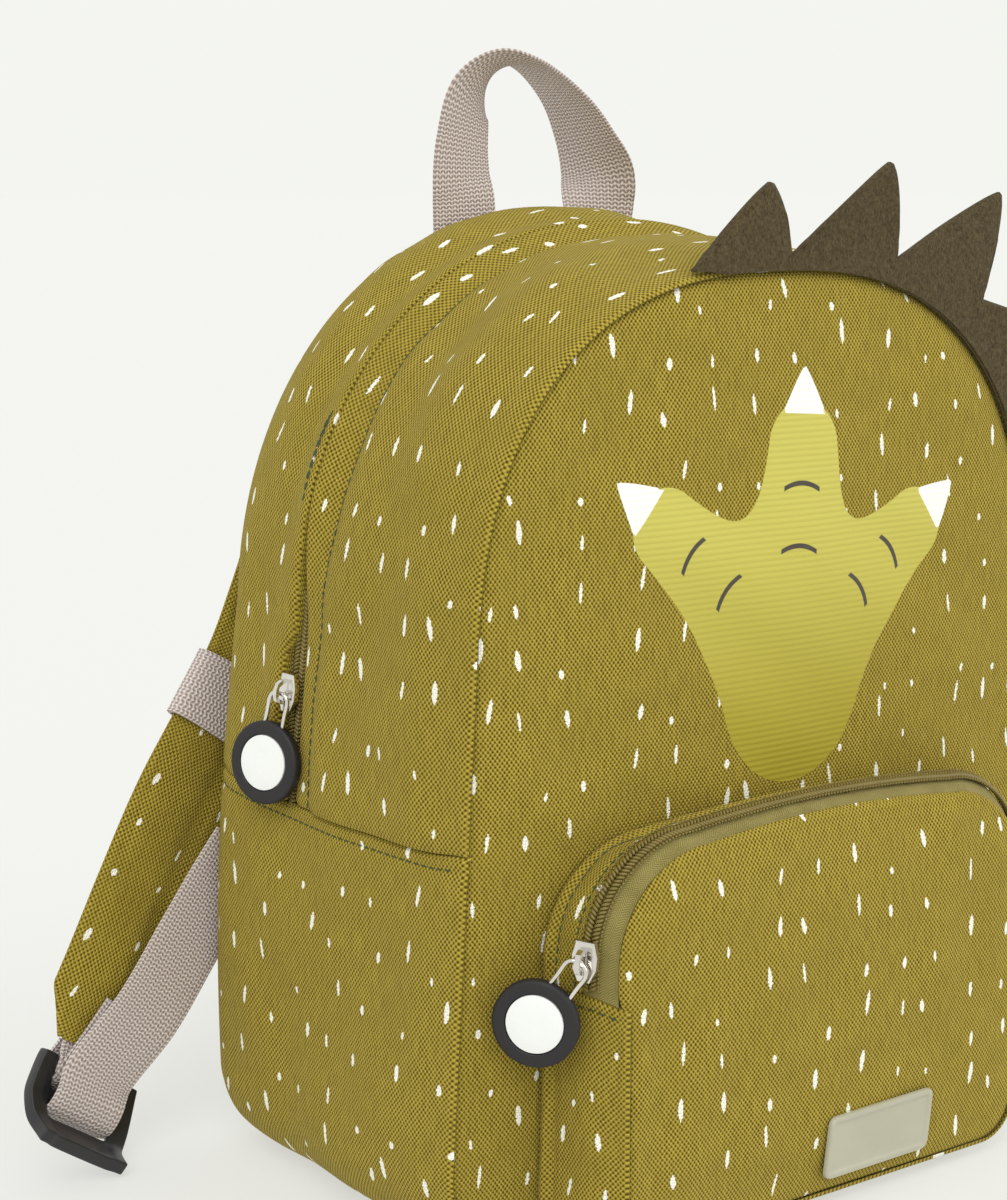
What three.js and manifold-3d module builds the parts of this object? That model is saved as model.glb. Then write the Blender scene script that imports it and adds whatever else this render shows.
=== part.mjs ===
// A small child's backpack in printed canvas: an arched bag with a zipped gusset, a zipped front
// pocket, a felt crest of spikes in the front seam, a webbing carrying loop and two padded shoulder
// straps with ladder buckles. Millimetres, +Z up. The bag stands on its base, its front faces -Y,
// and the origin is the middle of the base.
import * as THREE from "three";
import Module from "manifold-3d";
import { mergeVertices } from "three/addons/utils/BufferGeometryUtils.js";

const wasm = await Module();
wasm.setup();

// Driving sizes of the bag.
const bagWidth = 230; // seam to seam across the front
const bagHeight = 279; // floor to the top of the front seam
const bagDepth = 118; // front seam to back seam
const shoulderHeight = 175; // where the straight sides end and the arch begins
const baseCornerRadius = 24;
const clothThickness = 2; // canvas and lining
const backPadThickness = 5;
const frontDome = 7; // how far the stuffed front stands forward of its seam
const backDome = 3;
const seamGap = 0.3; // running gap between neighbouring pieces
const sideSeamHeight = 119; // where the upper gusset strips join the base band

// The main zip runs round the gusset from one side seam to the other.
const zipDepth = 80; // from the front seam to the middle of the coil
const zipOpening = 9; // between the two gusset strips
const zipTapeWidth = 26;
const zipTapeThickness = 1;
const coilWidth = 6;
const coilThickness = 1.9;
const flapLift = 2.2; // the back strip's folded edge stands this far above the skin
const flapWidth = 10; // width of the raised fold
const flapFoot = 14; // where the fold is back down on the skin
const flapClosedHeight = 214; // above this the folded edge covers the coil
const flapOpenHeight = 165;

// The front pocket.
const pocketWidth = 176; // at its base seam
const pocketHeight = 122;
const pocketDepth = 28; // base seam to the front edge
const pocketBaseLift = 3;
const pocketTopRadius = 32;
const pocketBottomRadius = 15;
const pocketDome = 5;
const pocketSeat = 0.8; // clearance of the pocket's strips over the domed front
const pocketZipEndHeight = 80;
const pocketStripWidth = 17; // gusset strip between the base seam and the zip
const pocketCoilWidth = 5.5;
const labelWidth = 43;
const labelHeight = 20;
const labelThickness = 1.4;
const labelCornerRadius = 2.5;
const labelOffset = 15; // to the right of the pocket's middle
const labelMiddleHeight = 21;

// The felt crest in the front seam.
const feltThickness = 3;

// Webbing, straps and buckles.
const webbingWidth = 25;
const webbingThickness = 1.8;
const notchClearance = 1.2; // round the carrying loop's feet in the back panel's edge
const footDepth = 2; // clear depth below the carrying loop's feet
const strapWidth = 46;
const strapThickness = 8;
const strapTaper = 17; // length over which the strap narrows to the webbing at its lower end
const strapSlotDepth = 11;
const keeperLength = 24;
const keeperClearance = 0.5;
const keeperWall = 1.6;
const strapLength = 260;
const keeperStart = 0.515; // share of the strap's length
const buckleSlack = 0.6; // between the webbing's edge and the buckle's rail
const buckleRail = 4.4; // width of the rails beside the webbing
const buckleThickness = 4.4;
const buckleLean = 28; // degrees its top leans backward

// Zip sliders and their round pulls.
const sliderWidth = 8;
const sliderLength = 11.5;
const sliderThickness = 2.4;
const bridgeRise = 4.6;
const bridgeWidth = 1.6;
const bridgeWall = 1;
const pullWire = 1.3;
const pullLoopWidth = 6.6;
const pullLength = 21.5; // hinge to the middle of the disc
const discDiameter = 25;
const discThickness = 3.6;
const insertDiameter = 16.6;
const insertThickness = 0.9;
const mainSliderHeight = 152;
const pocketSliderHeight = 91;

// Sections of the bag from the front seam to the back seam. depth is a share of bagDepth; width,
// flare and belly are shares of half the bag's width; height is a share of bagHeight; arch is the
// exponent of the arch (2 is an ellipse, more is squarer); lift raises the base, as a share of the
// base corner's radius.
const bagSections = [
  { depth: 0.0, width: 1.011, flare: 0.045, belly: 0.0, height: 1.0, arch: 2.5, lift: 0.12 },
  { depth: 0.08, width: 1.02, flare: 0.045, belly: 0.006, height: 1.006, arch: 2.48, lift: 0.04 },
  { depth: 0.25, width: 1.032, flare: 0.042, belly: 0.014, height: 1.015, arch: 2.4, lift: 0.0 },
  { depth: 0.45, width: 1.038, flare: 0.04, belly: 0.022, height: 1.02, arch: 2.3, lift: 0.0 },
  { depth: 0.64, width: 1.026, flare: 0.038, belly: 0.03, height: 1.024, arch: 2.22, lift: 0.0 },
  { depth: 0.8, width: 1.032, flare: 0.037, belly: 0.04, height: 1.04, arch: 2.17, lift: 0.0 },
  { depth: 0.94, width: 1.03, flare: 0.037, belly: 0.043, height: 1.05, arch: 2.15, lift: 0.04 },
  { depth: 1.0, width: 1.018, flare: 0.037, belly: 0.04, height: 1.046, arch: 2.15, lift: 0.12 },
];

// Sections of the pocket from its base seam to its front edge; all are shares of the named sizes.
const pocketSections = [
  { depth: 0.0, width: 1.0, height: 1.0 },
  { depth: 0.35, width: 0.985, height: 1.02 },
  { depth: 0.7, width: 0.965, height: 1.03 },
  { depth: 1.0, width: 0.915, height: 1.005 },
];

// Spikes of the crest from left to right along the front seam. foot and tip are places along the
// seam, as shares of half the outline from its apex; notch and rise are how far foot and tip stand
// out from the seam, as shares of the tallest spike's rise.
const crestSpikes = [
  { foot: -0.073, notch: 0, tip: -0.007, rise: 0.52706 },
  { foot: 0.007, notch: 0.01412, tip: 0.0765, rise: 0.73882 },
  { foot: 0.099, notch: 0.09882, tip: 0.159, rise: 1 },
  { foot: 0.179, notch: 0.24706, tip: 0.25, rise: 0.89412 },
  { foot: 0.264, notch: 0.18824, tip: 0.32, rise: 0.70588 },
];
const crestEnd = 0.352;
const crestRise = 42.5; // the tallest spike

const frontY = -bagDepth / 2;
const backY = bagDepth / 2;

const evenly = (from, to, steps) =>
  Array.from({ length: steps + 1 }, (_, i) => THREE.MathUtils.lerp(from, to, i / steps));

// Looks up one column of a table of sections, smoothly between its rows.
function column(sections, name, depth) {
  const last = sections.length - 1;
  let i = 0;
  while (i < last - 1 && depth > sections[i + 1].depth) i += 1;
  const before = sections[Math.max(i - 1, 0)];
  const here = sections[i];
  const next = sections[i + 1];
  const after = sections[Math.min(i + 2, last)];
  const span = next.depth - here.depth;
  const share = Math.min(Math.max((depth - here.depth) / span, 0), 1);
  const slopeHere = ((next[name] - before[name]) / (next.depth - before.depth)) * span;
  const slopeNext = ((after[name] - here[name]) / (after.depth - here.depth)) * span;
  const squared = share * share;
  const cubed = squared * share;
  return (
    (2 * cubed - 3 * squared + 1) * here[name] +
    (cubed - 2 * squared + share) * slopeHere +
    (3 * squared - 2 * cubed) * next[name] +
    (cubed - squared) * slopeNext
  );
}

// Walks a half outline, given from its apex down its left side to the middle of its base, and
// returns the point at a share of its length. A negative share is on the left, a positive one on
// the right, and shares past 1 carry on round the base.
function walker(halfOutline) {
  const lengths = [0];
  const turns = [0];
  for (let i = 1; i < halfOutline.length; i += 1) {
    const step = halfOutline[i].clone().sub(halfOutline[i - 1]);
    lengths.push(lengths[i - 1] + step.length());
    const before = i > 1 ? halfOutline[i - 1].clone().sub(halfOutline[i - 2]) : step;
    turns.push(turns[i - 1] + Math.abs(Math.atan2(step.cross(before), step.dot(before))));
  }
  const last = lengths.length - 1;
  const total = lengths[last];
  const lookUp = (from, to, value) => {
    let i = 1;
    while (i < last && from[i] < value) i += 1;
    const part = (value - from[i - 1]) / (from[i] - from[i - 1]);
    return to[i - 1] + part * (to[i] - to[i - 1]);
  };
  const at = (share) => {
    const wrapped = share > 1 ? share - 2 : share < -1 ? share + 2 : share;
    const target = Math.min(Math.abs(wrapped), 1) * total;
    let i = 1;
    while (i < last && lengths[i] < target) i += 1;
    const part = (target - lengths[i - 1]) / (lengths[i] - lengths[i - 1]);
    const point = halfOutline[i - 1].clone().lerp(halfOutline[i], part);
    if (wrapped > 0) point.x = -point.x;
    return point;
  };
  const shareAtHeight = (height) => {
    let i = 1;
    while (i < last && halfOutline[i].y > height) i += 1;
    const above = halfOutline[i - 1];
    const below = halfOutline[i];
    const part = (above.y - height) / (above.y - below.y);
    return (lengths[i - 1] + part * (lengths[i] - lengths[i - 1])) / total;
  };
  // Shares spread so that the bends get more of them than the straights.
  const effort = lengths.map((length, i) => (length / total + (1.2 * turns[i]) / turns[last]) / 2.2);
  const shares = lengths.map((length) => length / total);
  const effortAt = (share) => {
    const side = Math.abs(share) > 1 ? 2 - Math.abs(share) : Math.abs(share);
    const value = lookUp(shares, effort, side);
    return Math.sign(share) * (Math.abs(share) > 1 ? 2 - value : value);
  };
  const shareAt = (value) => {
    const side = Math.abs(value) > 1 ? 2 - Math.abs(value) : Math.abs(value);
    const share = lookUp(effort, shares, side);
    return Math.sign(value) * (Math.abs(value) > 1 ? 2 - share : share);
  };
  const spread = (from, to, steps) => {
    const ends = [effortAt(from), effortAt(to)];
    return evenly(ends[0], ends[1], steps).map((value, i) =>
      i === 0 ? from : i === steps ? to : shareAt(value),
    );
  };
  const top = halfOutline[0].y;
  const bottom = halfOutline[last].y;
  return { at, shareAtHeight, spread, total, top, bottom };
}

// Half of the bag's outline at a depth share, from the apex down the left side.
function bagHalfOutline(depth) {
  const of = (name) => column(bagSections, name, depth);
  const top = bagHeight * of("height");
  const lift = baseCornerRadius * Math.max(of("lift"), 0);
  const archHeight = top - shoulderHeight;
  const archPower = 2 / of("arch");
  const halfWidthAt = (z) =>
    (bagWidth / 2) *
    (of("width") +
      of("flare") * (1 - (2 * z) / shoulderHeight) +
      of("belly") * Math.sin(Math.PI * Math.min(Math.max(z / shoulderHeight, 0), 1)));
  const points = [];
  const archSteps = 48;
  for (let i = 0; i <= archSteps; i += 1) {
    const angle = ((1 - i / archSteps) * Math.PI) / 2;
    const z = shoulderHeight + archHeight * Math.sin(angle) ** archPower;
    const across = Math.max(Math.cos(angle), 0) ** archPower;
    points.push(new THREE.Vector2(-halfWidthAt(Math.min(z, top)) * across, z));
  }
  const sideSteps = 16;
  const cornerTop = lift + baseCornerRadius;
  for (let i = 1; i <= sideSteps; i += 1) {
    const z = shoulderHeight + ((cornerTop - shoulderHeight) * i) / sideSteps;
    points.push(new THREE.Vector2(-halfWidthAt(z), z));
  }
  const cornerSteps = 10;
  const cornerX = -halfWidthAt(cornerTop) + baseCornerRadius;
  for (let i = 1; i <= cornerSteps; i += 1) {
    const angle = ((i / cornerSteps) * Math.PI) / 2;
    const x = cornerX - baseCornerRadius * Math.cos(angle);
    points.push(new THREE.Vector2(x, cornerTop - baseCornerRadius * Math.sin(angle)));
  }
  points.push(new THREE.Vector2(0, lift));
  return points;
}

const bagWalkers = new Map();
function bagWalker(depth) {
  const key = Math.round(depth * 1e4);
  if (!bagWalkers.has(key)) bagWalkers.set(key, walker(bagHalfOutline(depth)));
  return bagWalkers.get(key);
}

// A point of the bag's outer skin. along is a share of the outline, depth a share of the depth.
function bagPoint(along, depth) {
  const point = bagWalker(depth).at(along);
  return new THREE.Vector3(point.x, frontY + bagDepth * depth, point.y);
}

// How far a stuffed panel stands out of its seam plane at a place, as a share of its dome.
function domeShare(outline, x, z) {
  const height = THREE.MathUtils.clamp(z, outline.bottom + 0.01, outline.top - 0.01);
  const edge = Math.abs(outline.at(outline.shareAtHeight(height)).x);
  const across = Math.min(Math.abs(x) / Math.max(edge, 1), 1);
  const upward = (height - outline.bottom) / (outline.top - outline.bottom);
  return (1 - across ** 2.4) * (1 - Math.abs(2 * upward - 1) ** 3);
}
const frontSurfaceY = (x, z) =>
  frontY - seamGap - clothThickness - frontDome * domeShare(bagWalker(0), x, z);

// Half of the pocket's outline at a depth share, from its top middle round its left side.
function pocketHalfOutline(depth) {
  const half = (pocketWidth / 2) * column(pocketSections, "width", depth);
  const top = pocketHeight * column(pocketSections, "height", depth);
  const points = [];
  const crown = 3; // the top edge arches by this much
  const topSteps = 8;
  const straight = half - pocketTopRadius;
  for (let i = 0; i <= topSteps; i += 1) {
    const share = i / topSteps;
    points.push(new THREE.Vector2(-straight * share, top - crown * share * share));
  }
  const cornerSteps = 10;
  const cornerZ = top - crown - pocketTopRadius;
  for (let i = 1; i <= cornerSteps; i += 1) {
    const angle = ((i / cornerSteps) * Math.PI) / 2;
    const x = -straight - pocketTopRadius * Math.sin(angle);
    points.push(new THREE.Vector2(x, cornerZ + pocketTopRadius * Math.cos(angle)));
  }
  const lowCornerZ = pocketBaseLift + pocketBottomRadius;
  for (let i = 0; i <= cornerSteps; i += 1) {
    const angle = ((i / cornerSteps) * Math.PI) / 2;
    const x = -half + pocketBottomRadius * (1 - Math.cos(angle));
    points.push(new THREE.Vector2(x, lowCornerZ - pocketBottomRadius * Math.sin(angle)));
  }
  points.push(new THREE.Vector2(0, pocketBaseLift));
  return points;
}

const pocketWalkers = new Map();
function pocketWalker(depth) {
  const key = Math.round(depth * 1e4);
  if (!pocketWalkers.has(key)) pocketWalkers.set(key, walker(pocketHalfOutline(depth)));
  return pocketWalkers.get(key);
}
const pocketFrontY = frontY - seamGap - clothThickness - pocketDepth;

// A point of the pocket's outer skin, from the bag's front (depth 0) to its front edge (depth 1).
function pocketPoint(along, depth) {
  const foot = pocketWalker(0).at(along);
  const point = pocketWalker(depth).at(along);
  const footY = frontSurfaceY(foot.x, foot.y) - pocketSeat;
  return new THREE.Vector3(point.x, THREE.MathUtils.lerp(footY, pocketFrontY, depth), point.y);
}
const pocketFaceY = (x, z) =>
  pocketFrontY - seamGap - clothThickness - pocketDome * domeShare(pocketWalker(1), x, z);

// The outward normal of a skin, by small steps along its two directions.
function skinNormal(point, along, depth) {
  const step = 0.004;
  const a = point(along + step, depth).sub(point(along - step, depth));
  const low = Math.max(depth - step, 0);
  const b = point(along, Math.min(low + 2 * step, 1)).sub(point(along, low));
  const normal = a.cross(b).normalize();
  const fromMiddle = point(along, depth).sub(point(0, depth).lerp(point(1, depth), 0.5));
  return normal.dot(fromMiddle) < 0 ? normal.negate() : normal;
}

// Builds a closed body from rows of matching outer and inner points. Rows run along the piece;
// a closed row joins its last point to its first.
function shellGeometry(outer, inner, closedRows = false) {
  const rows = outer.length;
  const columns = outer[0].length;
  const positions = [];
  [...outer, ...inner].flat().forEach((p) => positions.push(p.x, p.y, p.z));
  const index = [];
  const outerAt = (r, c) => r * columns + (c % columns);
  const innerAt = (r, c) => rows * columns + r * columns + (c % columns);
  const quad = (a, b, c, d) => index.push(a, b, c, a, c, d);
  const lastColumn = closedRows ? columns : columns - 1;
  for (let r = 0; r < rows - 1; r += 1) {
    for (let c = 0; c < lastColumn; c += 1) {
      quad(outerAt(r, c), outerAt(r, c + 1), outerAt(r + 1, c + 1), outerAt(r + 1, c));
      quad(innerAt(r, c), innerAt(r + 1, c), innerAt(r + 1, c + 1), innerAt(r, c + 1));
    }
  }
  for (let c = 0; c < lastColumn; c += 1) {
    quad(outerAt(0, c), innerAt(0, c), innerAt(0, c + 1), outerAt(0, c + 1));
    const r = rows - 1;
    quad(outerAt(r, c), outerAt(r, c + 1), innerAt(r, c + 1), innerAt(r, c));
  }
  if (!closedRows) {
    const c = columns - 1;
    for (let r = 0; r < rows - 1; r += 1) {
      quad(outerAt(r, 0), outerAt(r + 1, 0), innerAt(r + 1, 0), innerAt(r, 0));
      quad(outerAt(r, c), innerAt(r, c), innerAt(r + 1, c), outerAt(r + 1, c));
    }
  }
  return facingOut(meshGeometry(positions, index));
}

function meshGeometry(positions, index) {
  const geometry = new THREE.BufferGeometry();
  geometry.setAttribute("position", new THREE.Float32BufferAttribute(positions, 3));
  geometry.setIndex(index);
  return geometry;
}

// Turns a closed geometry's faces round if they point inwards.
function facingOut(geometry) {
  const p = geometry.attributes.position;
  const index = geometry.index.array;
  let volume = 0;
  const [a, b, c] = [new THREE.Vector3(), new THREE.Vector3(), new THREE.Vector3()];
  for (let i = 0; i < index.length; i += 3) {
    a.fromBufferAttribute(p, index[i]);
    b.fromBufferAttribute(p, index[i + 1]);
    c.fromBufferAttribute(p, index[i + 2]);
    volume += a.dot(b.cross(c));
  }
  if (volume < 0) {
    for (let i = 0; i < index.length; i += 3) {
      [index[i + 1], index[i + 2]] = [index[i + 2], index[i + 1]];
    }
  }
  return geometry;
}

// A strip of cloth on a skin. lift is how far its outer face stands off the skin at a place.
function skinStrip({ point, shares, depths, thickness, lift }) {
  const outer = [];
  const inner = [];
  for (const along of shares) {
    const outerRow = [];
    const innerRow = [];
    for (const depth of depths(along)) {
      const normal = skinNormal(point, along, depth);
      const base = point(along, depth);
      const raised = lift ? lift(along, depth) : 0;
      outerRow.push(base.clone().addScaledVector(normal, raised));
      innerRow.push(base.clone().addScaledVector(normal, raised - thickness));
    }
    outer.push(outerRow);
    inner.push(innerRow);
  }
  return shellGeometry(outer, inner);
}

// A domed panel inside an outline: rings from the rim to the middle, with a face and a back.
function domedPanel(rim, middle, ringShares, faceY, thickness) {
  const positions = [];
  const index = [];
  const count = rim.length;
  const side = (offset) => {
    const start = positions.length / 3;
    for (const share of ringShares) {
      for (const p of rim) {
        const x = middle.x + (p.x - middle.x) * share;
        const z = middle.y + (p.y - middle.y) * share;
        positions.push(x, faceY(x, z) + offset, z);
      }
    }
    positions.push(middle.x, faceY(middle.x, middle.y) + offset, middle.y);
    return start;
  };
  const face = side(0);
  const back = side(thickness);
  const rings = ringShares.length;
  const hub = rings * count;
  for (let i = 0; i < count; i += 1) {
    const j = (i + 1) % count;
    for (let ring = 0; ring < rings - 1; ring += 1) {
      const a = ring * count + i;
      const b = ring * count + j;
      const c = (ring + 1) * count + j;
      const d = (ring + 1) * count + i;
      index.push(face + a, face + b, face + c, face + a, face + c, face + d);
      index.push(back + a, back + c, back + b, back + a, back + d, back + c);
    }
    const last = (rings - 1) * count;
    index.push(face + last + i, face + last + j, face + hub);
    index.push(back + last + j, back + last + i, back + hub);
    index.push(face + i, back + i, back + j, face + i, back + j, face + j);
  }
  return facingOut(meshGeometry(positions, index));
}

// Sections of the long soft pieces, as shares of their width and thickness.
const flatSection = [[-0.5, 0.5], [0.5, 0.5], [0.5, -0.5], [-0.5, -0.5]];
const paddedSection = [
  [-0.5, 0.18], [-0.42, 0.4], [-0.2, 0.5], [0.2, 0.5], [0.42, 0.4], [0.5, 0.18],
  [0.5, -0.18], [0.42, -0.4], [0.2, -0.5], [-0.2, -0.5], [-0.42, -0.4], [-0.5, -0.18],
];
const roundSection = Array.from({ length: 6 }, (_, i) => [
  0.5 * Math.cos((i * Math.PI) / 3),
  0.5 * Math.sin((i * Math.PI) / 3),
]);

// A path through stations {at, across}, with the frame of the piece at a share of it.
function stationPath(stations) {
  const path = new THREE.CatmullRomCurve3(stations.map((s) => s.at), false, "centripetal");
  const turn = new THREE.CatmullRomCurve3(stations.map((s) => s.across), false, "centripetal");
  return (share) => {
    const centre = path.getPoint(share);
    const tangent = path.getTangent(share);
    const across = turn.getPoint(share);
    across.addScaledVector(tangent, -across.dot(tangent)).normalize();
    const normal = new THREE.Vector3().crossVectors(tangent, across);
    return { centre, tangent, across, normal };
  };
}

// The loop of points of a section, grown by a margin, in the frame of a path.
function sectionLoop(frame, section, width, thickness, margin = 0) {
  return section.map(([a, b]) =>
    frame.centre
      .clone()
      .addScaledVector(frame.across, a * (width + 2 * margin))
      .addScaledVector(frame.normal, b * (thickness + 2 * margin)),
  );
}

// A long soft piece of one section along a path.
function ribbon(frameAt, widthAt, thickness, section, steps) {
  const positions = [];
  const index = [];
  const sides = section.length;
  for (let i = 0; i <= steps; i += 1) {
    const share = i / steps;
    const loop = sectionLoop(frameAt(share), section, widthAt(share), thickness);
    loop.forEach((p) => positions.push(p.x, p.y, p.z));
  }
  for (let i = 0; i < steps; i += 1) {
    for (let k = 0; k < sides; k += 1) {
      const a = i * sides + k;
      const b = i * sides + ((k + 1) % sides);
      index.push(a, b, b + sides, a, b + sides, a + sides);
    }
  }
  for (let k = 1; k < sides - 1; k += 1) {
    index.push(0, k + 1, k);
    index.push(steps * sides, steps * sides + k, steps * sides + k + 1);
  }
  return facingOut(meshGeometry(positions, index));
}

// Boolean work on closed geometries.
function solidOf(geometry) {
  const plain = geometry.clone();
  plain.deleteAttribute("normal");
  plain.deleteAttribute("uv");
  const merged = mergeVertices(plain, 1e-4);
  return new wasm.Manifold(
    new wasm.Mesh({
      numProp: 3,
      vertProperties: new Float32Array(merged.attributes.position.array),
      triVerts: new Uint32Array(merged.index.array),
    }),
  );
}
function geometryOf(solid) {
  const mesh = solid.getMesh();
  return meshGeometry(Array.from(mesh.vertProperties), Array.from(mesh.triVerts));
}
const cut = (body, ...tools) =>
  geometryOf(tools.reduce((solid, tool) => solid.subtract(solidOf(tool)), solidOf(body)));
const join = (...bodies) =>
  geometryOf(bodies.slice(1).reduce((s, body) => s.add(solidOf(body)), solidOf(bodies[0])));

// A block with its middle at x, y, z.
const block = (sx, sy, sz, x = 0, y = 0, z = 0) =>
  new THREE.BoxGeometry(sx, sy, sz).translate(x, y, z);

// Materials, by finish.
const finish = (color, roughness, metalness = 0) =>
  new THREE.MeshStandardMaterial({ color, roughness, metalness });
const canvas = finish(0x9a8a3e, 0.9);
const felt = finish(0x5c523e, 1.0);
const webbing = finish(0xa99c95, 0.95);
const tapeCloth = finish(0x8a7d3c, 0.85);
const coilPlastic = finish(0x6f6230, 0.6);
const blackPlastic = finish(0x2b2a2c, 0.45);
const blackRubber = finish(0x3a383a, 0.6);
const whiteEnamel = finish(0xf2f2ee, 0.35);
const nickel = finish(0xd8d5d0, 0.25, 1);
const clearRubber = finish(0xa7a491, 0.5);

const bag = new THREE.Group();
function add(name, geometry, material, frame) {
  const mesh = new THREE.Mesh(geometry, material);
  mesh.name = name;
  if (frame) {
    mesh.quaternion.setFromRotationMatrix(
      new THREE.Matrix4().makeBasis(frame.x, frame.y, frame.z),
    );
    mesh.position.copy(frame.origin);
  }
  bag.add(mesh);
  return mesh;
}

// Shares along the outline where the upper strips end, left and right alike.
const seamShare = bagWalker(0.5).shareAtHeight(sideSeamHeight);
const seamShareGap = seamGap / bagWalker(0.5).total / 2;
const zipShare = zipDepth / bagDepth;
const openingShare = zipOpening / bagDepth;
const upperShares = bagWalker(0.5).spread(-seamShare + seamShareGap, seamShare - seamShareGap, 34);

// How far the folded edge of the back strip reaches over the coil: 0 on the sides, 1 at the top.
function flapCover(along) {
  const height = bagPoint(along, zipShare).z;
  return THREE.MathUtils.smoothstep(height, flapOpenHeight, flapClosedHeight);
}

function frontGusset() {
  const edge = zipShare - openingShare / 2;
  return skinStrip({
    point: bagPoint,
    shares: upperShares,
    depths: () => [0, 0.08, 0.25, 0.45, edge],
    thickness: clothThickness,
  });
}

function backGusset() {
  const open = zipShare + openingShare / 2;
  const closed = zipShare - openingShare / 2 + (2 * seamGap) / bagDepth;
  const edgeAt = (along) => THREE.MathUtils.lerp(open, closed, flapCover(along));
  return skinStrip({
    point: bagPoint,
    shares: upperShares,
    depths: (along) => {
      const edge = edgeAt(along);
      return [edge, edge + flapWidth / bagDepth, ...evenly(edge + flapFoot / bagDepth, 1, 3)];
    },
    thickness: clothThickness,
    lift: (along, depth) => (depth < edgeAt(along) + flapWidth / bagDepth + 0.001 ? flapLift : 0),
  });
}

function baseBand() {
  return skinStrip({
    point: bagPoint,
    shares: bagWalker(0.5).spread(seamShare + seamShareGap, 2 - seamShare - seamShareGap, 30),
    depths: () => [0, 0.08, 0.3, 0.55, 0.8, 0.94, 1],
    thickness: clothThickness,
  });
}

const panelMiddle = new THREE.Vector2(0, bagHeight * 0.48);
const panelRings = [1, 0.92, 0.72, 0.4];
const panelSides = 44;
function panelRim(depth) {
  const outline = bagWalker(depth);
  return outline.spread(-1, 1, panelSides).slice(1).map((share) => outline.at(share));
}
const frontPanel = () =>
  domedPanel(panelRim(0), panelMiddle, panelRings, frontSurfaceY, clothThickness);
const backSurfaceY = (x, z) =>
  backY + seamGap + backPadThickness + backDome * domeShare(bagWalker(1), x, z);
const backPanel = () =>
  domedPanel(panelRim(1), panelMiddle, panelRings, backSurfaceY, -backPadThickness);

function mainZipTape() {
  const half = zipTapeWidth / bagDepth / 2;
  return skinStrip({
    point: bagPoint,
    shares: upperShares,
    depths: () => evenly(zipShare - half, zipShare + half, 2),
    thickness: zipTapeThickness,
    lift: () => -clothThickness - 2 * seamGap,
  });
}
function mainZipCoil() {
  const half = coilWidth / bagDepth / 2;
  return skinStrip({
    point: bagPoint,
    shares: upperShares,
    depths: () => [zipShare - half, zipShare + half],
    thickness: coilThickness,
    lift: () => -seamGap,
  });
}

add("front_panel", frontPanel(), canvas);
add("gusset_front", frontGusset(), canvas);
add("gusset_back", backGusset(), canvas);
add("gusset_base", baseBand(), canvas);
add("zip_tape", mainZipTape(), tapeCloth);
add("zip_coil", mainZipCoil(), coilPlastic);

// The pocket: an upper strip behind the zip, the zip, a lower band and a domed face.
const pocketEndShare = pocketWalker(0.5).shareAtHeight(pocketZipEndHeight);
const pocketShareGap = seamGap / pocketWalker(0.5).total / 2;
const pocketStripShare = pocketStripWidth / pocketDepth;
const pocketUpperShares = pocketWalker(0.5).spread(
  -pocketEndShare + pocketShareGap, pocketEndShare - pocketShareGap, 26,
);

function pocketUpperStrip() {
  return skinStrip({
    point: pocketPoint,
    shares: pocketUpperShares,
    depths: () => evenly(0, pocketStripShare, 2),
    thickness: clothThickness,
  });
}
function pocketZipTape() {
  return skinStrip({
    point: pocketPoint,
    shares: pocketUpperShares,
    depths: () => evenly(pocketStripShare + seamGap / pocketDepth, 1, 2),
    thickness: zipTapeThickness,
    lift: () => -0.5,
  });
}
const pocketCoilMiddle = pocketStripShare + (seamGap + pocketCoilWidth / 2) / pocketDepth;
function pocketZipCoil() {
  const half = pocketCoilWidth / pocketDepth / 2;
  return skinStrip({
    point: pocketPoint,
    shares: pocketUpperShares,
    depths: () => [pocketCoilMiddle - half, pocketCoilMiddle + half],
    thickness: coilThickness,
    lift: () => coilThickness - 0.5 + seamGap,
  });
}
function pocketLowerBand() {
  return skinStrip({
    point: pocketPoint,
    shares: pocketWalker(0.5).spread(
      pocketEndShare + pocketShareGap, 2 - pocketEndShare - pocketShareGap, 24,
    ),
    depths: () => evenly(0, 1, 3),
    thickness: clothThickness,
  });
}
function pocketFace() {
  const outline = pocketWalker(1);
  const rim = outline.spread(-1, 1, 40).slice(1).map((share) => outline.at(share));
  const middle = new THREE.Vector2(0, pocketHeight / 2);
  return domedPanel(rim, middle, [1, 0.9, 0.7, 0.4], pocketFaceY, clothThickness);
}

// The soft rubber label: a plain plate with rounded corners that follows the pocket's face.
function labelPlate() {
  const rim = [];
  const cornerSteps = 4;
  const corners = [[1, 1], [-1, 1], [-1, -1], [1, -1]];
  corners.forEach(([sx, sz], corner) => {
    for (let i = 0; i <= cornerSteps; i += 1) {
      const angle = ((corner + i / cornerSteps) * Math.PI) / 2;
      rim.push(
        new THREE.Vector2(
          labelOffset + sx * (labelWidth / 2 - labelCornerRadius) + labelCornerRadius * Math.cos(angle),
          labelMiddleHeight + sz * (labelHeight / 2 - labelCornerRadius) +
            labelCornerRadius * Math.sin(angle),
        ),
      );
    }
  });
  const middle = new THREE.Vector2(labelOffset, labelMiddleHeight);
  const face = (x, z) => pocketFaceY(x, z) - 3 * seamGap - labelThickness;
  return domedPanel(rim, middle, [1, 0.5], face, labelThickness);
}

add("pocket_face", pocketFace(), canvas);
add("pocket_strip", pocketUpperStrip(), canvas);
add("pocket_band", pocketLowerBand(), canvas);
add("pocket_zip_tape", pocketZipTape(), tapeCloth);
add("pocket_zip_coil", pocketZipCoil(), coilPlastic);
add("pocket_label", labelPlate(), clearRubber);

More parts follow.
